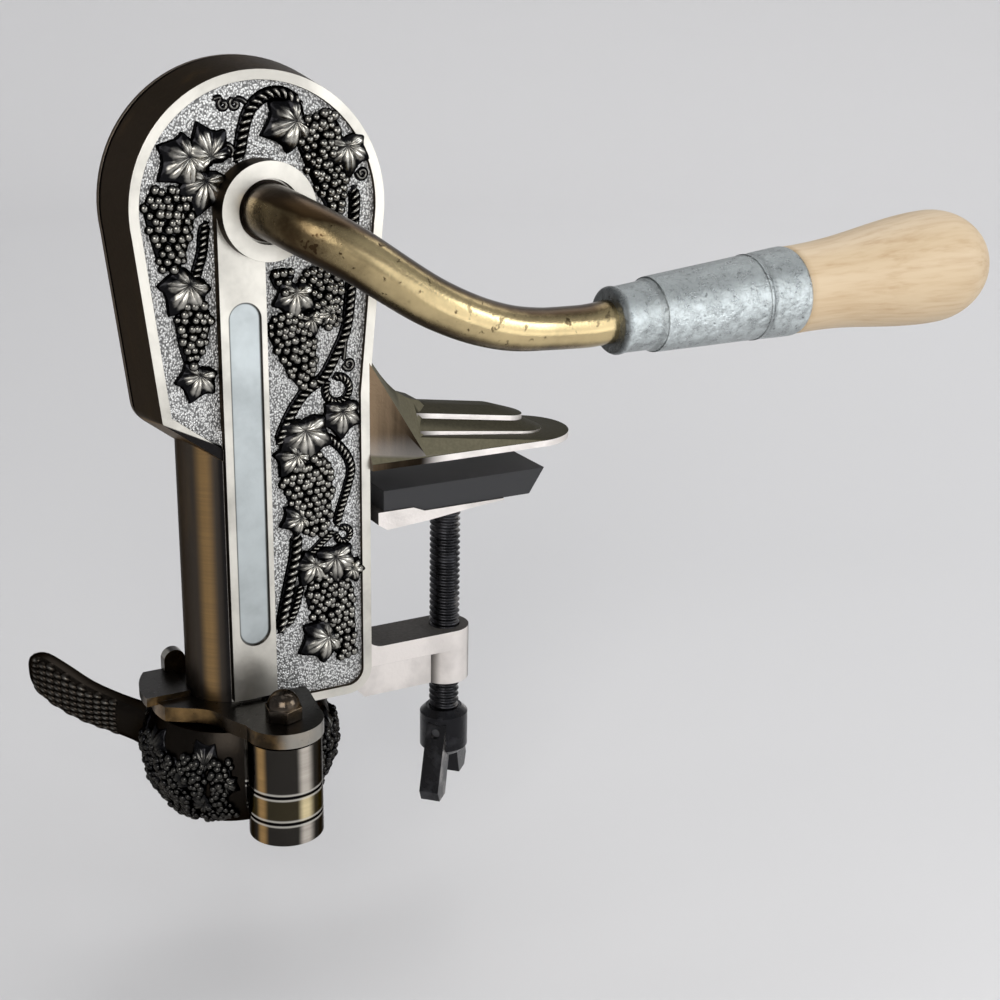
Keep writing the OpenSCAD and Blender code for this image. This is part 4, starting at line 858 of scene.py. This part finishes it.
# On the housing's field. Leaves: middle, size, turn. Bunches: top, tip, width. Stems: points, radius and
# strands, else two. Curls: middle, size, first angle, turns, radius and how far the spiral closes in.
LEAF_SCALE, LEAF_LIFT = 1.08, 0.9
FIELD_LEAVES = [
    ((-15.3, 18.3), 6, 110), ((-23.3, 12.4), 6.8, 215), ((-16.9, 4.6), 6.4, 255),
    ((-23.8, -22.8), 6.6, 235), ((-20.8, -48.2), 5.4, 250), ((6.9, 22), 6.8, 200),
    ((26.2, 12.6), 6, 275), ((9.2, -27.6), 5.8, 262), ((14.4, -34), 3.8, 285),
    ((18, -31.2), 3.6, 190), ((23.2, -64), 5.8, 268), ((11.8, -69.6), 7.6, 275),
    ((6.7, -74.6), 5.2, 232), ((7.1, -92.7), 4.4, 200), ((12.1, -109.8), 5.2, 238),
    ((20.6, -109.6), 6.4, 275), ((26.5, -112.3), 3.6, 290), ((14, -133.4), 6.6, 205),
]
FIELD_GRAPES = [
    ((-25.6, 6), (-26.2, -15), 15), ((-20.2, -26), (-21.6, -42), 10.5),
    ((16.6, 24.6), (23.2, -1.8), 14), ((6, -18.4), (5.8, -23.4), 7),
    ((17.4, -18), (20.6, -35), 13), ((7.4, -30), (12.6, -51.6), 14.6),
    ((11.2, -74.4), (15.4, -97.6), 17), ((17.2, -112), (24.2, -139), 15.6),
]
FIELD_STEMS = [
    ([(-6.8, 12.6), (-5.4, 16.1), (-4.2, 21.4), (-2.1, 26.7), (2.1, 30.2), (7.3, 30.7), (12.8, 27.6)], 1),
    ([(-15.7, -2.6), (-16.7, -6.7), (-17.2, -11), (-18.7, -15.8), (-20.1, -19.4)], 0.85),
    ([(28.2, 5), (28.6, 0.6), (28.3, -5.1), (27.8, -15), (26.9, -26.3), (25.4, -36.4), (22.2, -43.3),
      (18, -50), (12.3, -53.9), (7.4, -60.3), (3.2, -68.9)], 0.95),
    ([(18, -67.5), (23.6, -72.7), (26.4, -78.7), (24.9, -85.5), (22.6, -92.2), (21.4, -97)], 0.75),
    ([(20.6, -98), (13.7, -103.6), (10, -107.3)], 0.65),
    ([(8.5, -96.4), (7.9, -104.1), (5.5, -114.4), (2.4, -128.3)], 1.1),
    ([(9.6, -113), (7.4, -121), (4.6, -126.6)], 0.8),
    ([(-12.7, 29.3), (-11, 30), (-9.6, 29.6)], 0.4, 1),
    ([(-6.4, 29.8), (-4.4, 29.4), (-2.6, 28)], 0.4, 1),
    ([(25.4, -38), (25, -42), (24.5, -46)], 0.4, 1),
]
FIELD_CURLS = [
    ((-9.3, 15.8), 2.2, 300, 1.5, 0.45), ((-9.6, 28.1), 1.6, 90, 1.3, 0.4),
    ((-6.4, 28.2), 1.6, 90, 1.3, 0.4), ((31, 8.2), 1.7, 150, 1.5, 0.45),
    ((26.2, -47), 1.8, 170, 1.5, 0.42), ((22.4, -54.2), 3.8, 130, 0.96, 0.62, 0),
    ((23.7, -99.7), 2.2, 150, 0.95, 0.5, 0),
]
# The same on a jaw, as jaw_surface() lays them, with the leaves' height, grapes' radius and first seed
JAW_LEAF, JAW_GRAPE, JAW_SEED = 1.7, 1.25, 20
JAW_LEAVES = [
    ((24, 6.5), 5, 300), ((33, 15), 5.6, 250), ((42, 6.5), 5.4, 240), ((27, 24.5), 5, 20),
    ((41, 24), 5.2, 160), ((52, 15), 5.6, 270), ((58, 6), 5, 210), ((57, 25), 5, 60),
    ((66, 15), 5, 300), ((17, 17), 4.2, 90), ((20, 27), 4, 10), ((34, 28), 4, 190),
    ((48, 28), 4, 20),
]
JAW_GRAPES = [
    ((28, 7), (25, 20), 9), ((37, 9), (35, 26), 10), ((48, 6), (46, 24), 10),
    ((59, 11), (55, 27), 10), ((18, 8), (19.5, 25), 6.5), ((66, 5), (64, 24), 8),
    ((32, 20), (31, 28.5), 7), ((50, 20), (49, 28.5), 7), ((15, 25.5), (26, 29.5), 5),
    ((28, 29), (42, 29.5), 4), ((56, 29), (68, 28), 4),
]
# Radius and distance from the mouth
FERRULE = [
    (8.4, 0), (9.3, 0.1), (9.95, 0.9), (10.1, 1.9), (9.9, 3.1), (9.9, 5), (10.15, 10), (10.3, 12),
    (10.7, 13.2), (11.1, 14.8), (11.4, 17), (12.95, 48.6), (13.2, 49.8), (13.2, 50.6), (13, 51.6),
    (13.3, 54), (13.75, 61.5), (13.8, 64), (13.4, 65),
]
# X, Y, rise, half width and half height of a jaw's handle, seen from the neck
HANDLE = [
    (-17, 16, 0.5, 4, 7.4), (-18, 25, 2.4, 3.9, 6.6), (-22, 34, 3.6, 3.7, 6.4), (-27.5, 43, 5.8, 3.6, 7),
    (-32, 51, 9, 3.5, 7.8), (-35.6, 57.5, 12, 3.2, 7.6), (-37.8, 61.6, 13.6, 2.4, 5.4),
]


def handle_scales(shape, side):
    """Fish-scale grip on a jaw's paddle: domes in staggered rows on the outer side of the handle's curve.

    The handle's section is a rounded box, so its half width goes by a power of the height.
    """
    turn = HINGE_TURN - (0.0 if side < 0 else JAW_OPEN)
    line = curve_through(HANDLE, 12)
    run = run_along(line[:, :2])
    first, pitch, spread, long, high = 2.6, 2.9, 0.27, 1.9, 0.155
    i, j = np.meshgrid(np.arange(11), np.arange(-3, 4), indexing="ij")
    u = run[-1] - first - pitch * i
    v = (j + 0.5 * (i % 2)) * spread
    keep = np.abs(v) < 0.9
    u, v = u[keep], v[keep]
    lat = np.array([0.35, 0.72, 1.0, 1.0])[:, None]
    lon = around(8)
    du, dv = lat * np.cos(lon) * long, lat * np.sin(lon) * high
    h = np.array([0.62, 0.42, 0.0, SUNK])[:, None] + 0 * lon + 0.22 * du / long

    def lay(along, up, off):
        at = [np.interp(along, run, line[:, k]) for k in range(5)]
        slope = np.stack([np.interp(along, run, np.gradient(line[:, k], run)) for k in range(2)])
        slope = slope / np.linalg.norm(slope, axis=0)
        s = np.clip(np.abs(up), 0, 0.99) ** (1 / 0.6)
        wide = at[3] * np.sqrt(1 - s**2) ** 0.6 + off
        x, y = (at[0] - slope[1] * wide) * -side, at[1] + slope[0] * wide + HINGE_REACH
        c, w = math.cos(turn), math.sin(turn)
        z = JAW_TOP - JAW_HEIGHT / 2 + at[2] + at[4] * up
        return np.stack([HINGE[0] + c * x - w * y, HINGE[1] + w * x + c * y, z], -1)

    rings = lay(u[:, None, None] + du, v[:, None, None] + dv, h[None] + 0 * u[:, None, None])
    tops = np.concatenate([[0.9], np.clip(h, 0, 1).ravel(), [0.0]])
    shape.add(lay(u, v, 0.7 + 0 * u), rings, lay(u, v, SUNK + 0 * u), tops[None])


# Operators


class BuildHousing(bpy.types.Operator):
    """Housing, cover and hinge plate with their rounded edges and finishes"""

    bl_idname = "corkscrew.build_housing"
    bl_label = "Build housing"

    def execute(self, context):
        edge = look("housing").edge
        cover = bronze_paint("cover_bronze", 0.2, 2.4)
        plate = edged_paint("plate_bronze")
        nut = bronze_paint("nut_bronze", 0.5, 0.9, 0.10)
        merged("main_housing", "housing", housing_paint(), "pewter", edge)
        merged("rear_cover", "housing", cover, "antique_bronze", 0.0003)
        merged("hinge_plate", "housing", plate, "antique_bronze", edge, corners=PLATE_CORNERS)
        merged("acorn_nut", "housing", nut, "antique_bronze", 0.0002)
        return {"FINISHED"}


class BuildOrnament(bpy.types.Operator):
    """Vine ornament on the housing's field"""

    bl_idname = "corkscrew.build_ornament"
    bl_label = "Build vine ornament"

    def execute(self, context):
        h = look("housing")
        height, grape = h.relief / MM, h.grape / MM
        leaf_paint = relief_paint("leaf_pewter", h.patina_and_shade, tone(h.plate, 0.80), 0.50, 1.02)
        stem_paint = relief_paint("stem_pewter", h.patina_and_shade, tone(h.plate, 0.50))
        grape_paint = relief_paint("grape_pewter", h.patina_and_shade, tone(h.plate, 0.55), 0.48, 1.15, 0.09)
        leaves, bunches, stems = Shape(), Shape(), Shape()
        for at, size, turn in FIELD_LEAVES:
            leaf(leaves, on_field, at, LEAF_SCALE * size, turn, height, LEAF_LIFT)
        for i, (top, low, width) in enumerate(FIELD_GRAPES):
            grapes(bunches, on_field, top, low, width, grape, i)
        for stem in FIELD_STEMS:
            rope(stems, on_field, *stem)
        for curled in FIELD_CURLS:
            curl(stems, on_field, *curled)
        leaves.make("field_leaves", "housing", leaf_paint, "pewter")
        bunches.make("field_grapes", "housing", grape_paint, "pewter")
        stems.make("field_stems", "housing", stem_paint, "pewter")
        return {"FINISHED"}


class BuildJaws(bpy.types.Operator):
    """Both jaws with their handles and relief"""

    bl_idname = "corkscrew.build_jaws"
    bl_label = "Build jaws"

    def execute(self, context):
        h = look("housing")
        relief = relief_paint("jaw_relief", h.patina_and_shade, tone(h.plate, 0.13), rough=0.14)
        grip = relief_paint("scale_bronze", tone(h.bronze, 0.3), tone(h.plate, 0.32))
        jaws = (("front_jaw", -1, (0.36, 0.33, 0.29)), ("back_jaw", 1, (0.50, 0.42, 0.25)))
        for name, side, rings in jaws:
            merged(name, name, jaw_paint(name + "_bronze", rings), "antique_bronze", 0.0006)
            lay = jaw_surface(side)
            shape = Shape()
            for at, size, turn in JAW_LEAVES:
                leaf(shape, lay, at, size, turn, JAW_LEAF)
            for i, (top, low, width) in enumerate(JAW_GRAPES):
                grapes(shape, lay, top, low, width, JAW_GRAPE, JAW_SEED + i)
            shape.make(name + "_relief", name, relief, "antique_bronze")
            scales = Shape()
            handle_scales(scales, side)
            scales.make(name + "_scales", name, grip, "antique_bronze")
        return {"FINISHED"}


class BuildLever(bpy.types.Operator):
    """Lever arm, a bent tube that thins towards the grip, with its turned ferrule and grip"""

    bl_idname = "corkscrew.build_lever"
    bl_label = "Build lever"

    def execute(self, context):
        way = np.array([math.cos(GRIP_TILT), 0.0, math.sin(GRIP_TILT)])
        ends = MOUTH - ARM_STRAIGHT * way, MOUTH + ARM_INSIDE * way
        line = curve_through([*ARM_BENDS, *ends], ARM_STEPS)
        t = np.clip((np.arange(len(line)) - ARM_STEPS) / (len(line) - ARM_STEPS - 1), 0, 1)
        thinner = ARM_R - (ARM_R - WAIST_R) * (t / WAIST_AT) ** 2.2
        thicker = WAIST_R + 0.4 * (t - WAIST_AT) / (1 - WAIST_AT)
        radius = np.where(t < WAIST_AT, thinner, thicker)
        arm = Shape()
        arm.add(line[:1], tube(line, radius, 40)[None], line[-1:])
        arm.make("lever_tube", "lever", brass_paint(), "antique_brass", ("lever_arm",))
        s = np.linspace(0, 1, 48) ** 0.9
        swell = NECK_R + (GRIP_R - NECK_R) * ((1 - np.cos(np.pi * s / GRIP_FULL)) / 2) ** 1.25
        dome = GRIP_R * np.sqrt(np.clip(1 - ((s - GRIP_FULL) / (1 - GRIP_FULL)) ** 2, 0, 1))
        radii = np.concatenate([[STEM_R, STEM_R], np.where(s < GRIP_FULL, swell, dome)[:-1]])
        along = FERRULE_LENGTH + (GRIP_END - FERRULE_LENGTH) * s[:-1]
        along = np.concatenate([[GRIP_START, FERRULE_LENGTH - 0.1], along])
        axes = np.stack([[0, 1, 0], np.cross(way, [0, 1, 0]), way])
        start, end, rear = ((MOUTH + x * way)[None] for x in (GRIP_START, GRIP_END, FERRULE_LENGTH))
        sleeve = Shape()
        sleeve.add(MOUTH[None], MOUTH + lathe(*curve_through(FERRULE, 4).T)[None] @ axes, rear)
        sleeve.make("ferrule_sleeve", "lever", zinc_paint(), "galvanised", ("grip_ferrule",))
        grip = Shape()
        grip.add(start, MOUTH + lathe(radii, along)[None] @ axes, end)
        grip.make("turned_grip", "lever", wood_paint(), "birch", ("wooden_grip",))
        return {"FINISHED"}


class BuildClamp(bpy.types.Operator):
    """Foot, arm, pressure plate, wing and screw of the clamp, its thread a saw that winds with the height"""

    bl_idname = "corkscrew.build_clamp"
    bl_label = "Build clamp"

    def execute(self, context):
        c = look("clamp")
        flange = (ARM_LOW + SEAT[2]) * MM
        # Painted shade: the dark copy of the pewter, and the foot's dark brown, go on faces turned up, and on
        # the arm and plate also at both ends.
        pewter = plated_paint("pale_pewter", c.pewter, tone(c.pewter, 0.07), flange=flange)
        foot = plated_paint("foot_plating", c.pewter, c.foot, c.copper)
        rubber = machined_paint("pad_rubber", (0.02, 0.02, 0.022), 0.6, 0.0)
        black = black_paint()
        merged("table_foot", "housing", foot, "pewter", 0.0005, 40.0)
        merged("clamp_arm", "housing", pewter, "pewter", 0.0004)
        merged("pressure_plate", "clamp_plate", pewter, "pewter", 0.0004)
        merged("plate_pad", "clamp_plate", rubber, "pad_rubber", 0.0003)
        merged("wing_handle", "clamp_screw", black, "black_oxide", 0.0005)
        pitch, depth = c.pitch / MM, c.depth / MM
        z = np.arange(SCREW_LOW, SCREW_HIGH, pitch / 8)
        a = around(32)
        saw = np.abs(((z[:, None] / pitch + a / (2 * np.pi)) % 1.0) * 2 - 1)
        r = SCREW_R - depth * np.clip(1.25 * saw - 0.12, 0, 1)
        swivel = np.array(SWIVEL)
        saw = np.concatenate([saw, np.ones((len(swivel), len(a)))])
        r = np.concatenate([r, swivel[:, :1] + 0 * a])
        z = np.concatenate([z, swivel[:, 1]])
        rings = np.stack([SCREW_X + r * np.cos(a), r * np.sin(a), z[:, None] + 0 * a], -1)
        low, high = (np.array([[SCREW_X, 0, z[i]]]) for i in (0, -1))
        tops = np.concatenate([[0], (1 - saw).ravel(), [0]])
        shape = Shape()
        shape.add(low, rings[None], high, tops[None])
        shape.make("screw_thread", "clamp_screw", black, "black_oxide", ("clamp_screw",))
        return {"FINISHED"}


class PaintInside(bpy.types.Operator):
    """Finishes of the gear train, spindle, pins and screws"""

    bl_idname = "corkscrew.paint_inside"
    bl_label = "Paint inner pieces"

    def execute(self, context):
        steel = machined_paint("machined_steel", (0.5, 0.51, 0.52))
        bearing = machined_paint("bearing_bronze", (0.52, 0.34, 0.16))
        slots = {s["node"]: s["material_slot"] for s in frame["record"]["subparts"]}
        finish = dict.fromkeys(("bearing_bronze", "antique_bronze"), bearing)
        finish["black_oxide"] = bpy.data.materials["black_oxide"]
        for node, obj in frame["nodes"].items():
            if not obj.hide_render:
                repaint(finish.get(slots[node], steel), node)
        # Painted shade: the bush round the lever's root is made dark like the gap it sits in.
        repaint(bronze_paint("bush_bronze", 0.1, 0.4), "shaft_bush")
        repaint(finish["black_oxide"], "wing_pin")
        return {"FINISHED"}


# Metres: floor's inner ring and radius, bend from floor to wall, wall's height, camera in the part's frame
INNER_R, FLOOR_R, BEND_R, WALL_TOP = 0.4, 1.6, 0.6, 1.6
CAMERA_AT = (-0.2319, -0.4339, 0.1452)
CAMERA_AXES = (  # right, up and back
    (0.8734, -0.4866, 0.0179), (0.1397, 0.2857, 0.9481), (-0.4665, -0.8256, 0.3175),
)
AIR_COLOUR, AIR_STRENGTH = (0.80, 0.82, 0.85, 1), 0.45
LAMPS = (  # name, place, aim, size, share of the power, colour
    ("key", (-0.8, -1.25, 0.6), (-0.05, 0, 0.0), 0.9, 0.9, (1.0, 0.98, 0.95)),
    ("side", (1.1, -0.9, 0.45), (-0.02, 0, 0.0), 0.7, 0.45, (0.95, 0.98, 1.0)),
    ("top", (0.0, 0.0, 1.6), (0.0, 0.02, 0.0), 1.2, 0.22, (1.0, 1.0, 1.0)),
    ("card", (0.10, -0.36, 0.05), (-0.07, -0.01, 0.0), 0.30, 0.019, (0.97, 0.98, 1.0)),
    ("back", (1.6, 1.0, 2.2), (1.8, 1.9, 0.0), 2.2, 2.4, (1.0, 1.0, 1.0)),
)


def aim(way):
    """Turn that points a lamp's own -Z along a direction."""
    z = -np.asarray(way, float) / np.linalg.norm(way)
    x = np.cross((0.0, 0.0, 1.0), z)
    x /= np.linalg.norm(x)
    return Matrix((tuple(x), tuple(np.cross(z, x)), tuple(z))).transposed()


class BuildStage(bpy.types.Operator):
    """Round floor with a wall curving up from it, lights and camera"""

    bl_idname = "corkscrew.build_stage"
    bl_label = "Build studio"

    def execute(self, context):
        g = look("stage")
        scene = context.scene
        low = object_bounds()[0].z - g.gap
        bend = np.linspace(0, np.pi / 2, 12)
        radii = np.concatenate([[INNER_R], FLOOR_R + BEND_R * np.sin(bend), [FLOOR_R + BEND_R]])
        heights = low + np.concatenate([[0.0], BEND_R * (1 - np.cos(bend)), [WALL_TOP]])
        rings = lathe(radii, heights)
        rows, cols = rings.shape[:2]
        mesh = bpy.data.meshes.new("studio_floor")
        faces = tube_faces(rows, cols)[:, ::-1].tolist() + [list(range(cols))]
        mesh.from_pydata(rings.reshape(-1, 3).tolist(), [], faces)
        mesh.shade_smooth()
        floor = bpy.data.objects.new("studio_floor", mesh)
        scene.collection.objects.link(floor)
        paint = Paint("studio_paper", 0.0)
        base = paint.mix(paint.noise(3, 2) * 0.2, g.floor, tone(g.floor, 0.94))
        mesh.materials.append(paint.done(base, 0.9))
        floor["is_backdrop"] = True
        world = bpy.data.worlds.new("studio_air")
        world.use_nodes = True
        scene.world = world
        back = world.node_tree.nodes["Background"]
        back.inputs["Color"].default_value = AIR_COLOUR
        back.inputs["Strength"].default_value = AIR_STRENGTH
        for name, at, to, size, share, tint in LAMPS:
            lamp = bpy.data.lights.new(name + "_light", "AREA")
            lamp.energy = g.power * share
            lamp.size = size
            lamp.color = tint
            obj = bpy.data.objects.new(name + "_light", lamp)
            way = np.array(to) - np.array(at)
            obj.matrix_world = Matrix.Translation(at) @ aim(way).to_4x4()
            scene.collection.objects.link(obj)
        cam = bpy.data.objects.new("camera", bpy.data.cameras.new("camera"))
        scene.collection.objects.link(cam)
        cam.data.lens = g.lens
        cam.data.sensor_width = 36.0
        turn = Matrix(CAMERA_AXES).transposed().to_4x4()
        cam.matrix_world = Matrix.Translation(CAMERA_AT) @ turn
        cam.data.clip_start = 0.01
        cam.data.clip_end = 20.0
        scene.camera = cam
        scene.view_settings.view_transform = "Standard"
        return {"FINISHED"}


OPERATORS = (BuildHousing, BuildOrnament, BuildJaws, BuildLever, BuildClamp, PaintInside, BuildStage)


class CorkscrewPanel(bpy.types.Panel):
    """Settings and steps of the corkscrew's looks"""

    bl_idname = "VIEW3D_PT_corkscrew"
    bl_label = "Corkscrew"
    bl_space_type = "VIEW_3D"
    bl_region_type = "UI"
    bl_category = "Corkscrew"

    def draw(self, context):
        for kind, group in LOOKS.items():
            box = self.layout.box()
            box.label(text=kind.capitalize())
            for name in group.__annotations__:
                box.prop(look(kind), name)
        for op in OPERATORS:
            self.layout.operator(op.bl_idname)


CLASSES = (*LOOKS.values(), *OPERATORS, CorkscrewPanel)


def register():
    for c in CLASSES:
        bpy.utils.register_class(c)
    for kind, group in LOOKS.items():
        setattr(bpy.types.Scene, "corkscrew_" + kind, PointerProperty(type=group))


def unregister():
    for kind in LOOKS:
        delattr(bpy.types.Scene, "corkscrew_" + kind)
    for c in reversed(CLASSES):
        bpy.utils.unregister_class(c)


def main():
    """Builds every piece in order."""
    register()
    for op in OPERATORS:
        group, name = op.bl_idname.split(".")
        getattr(getattr(bpy.ops, group), name)()


if __name__ == "__main__":
    main()
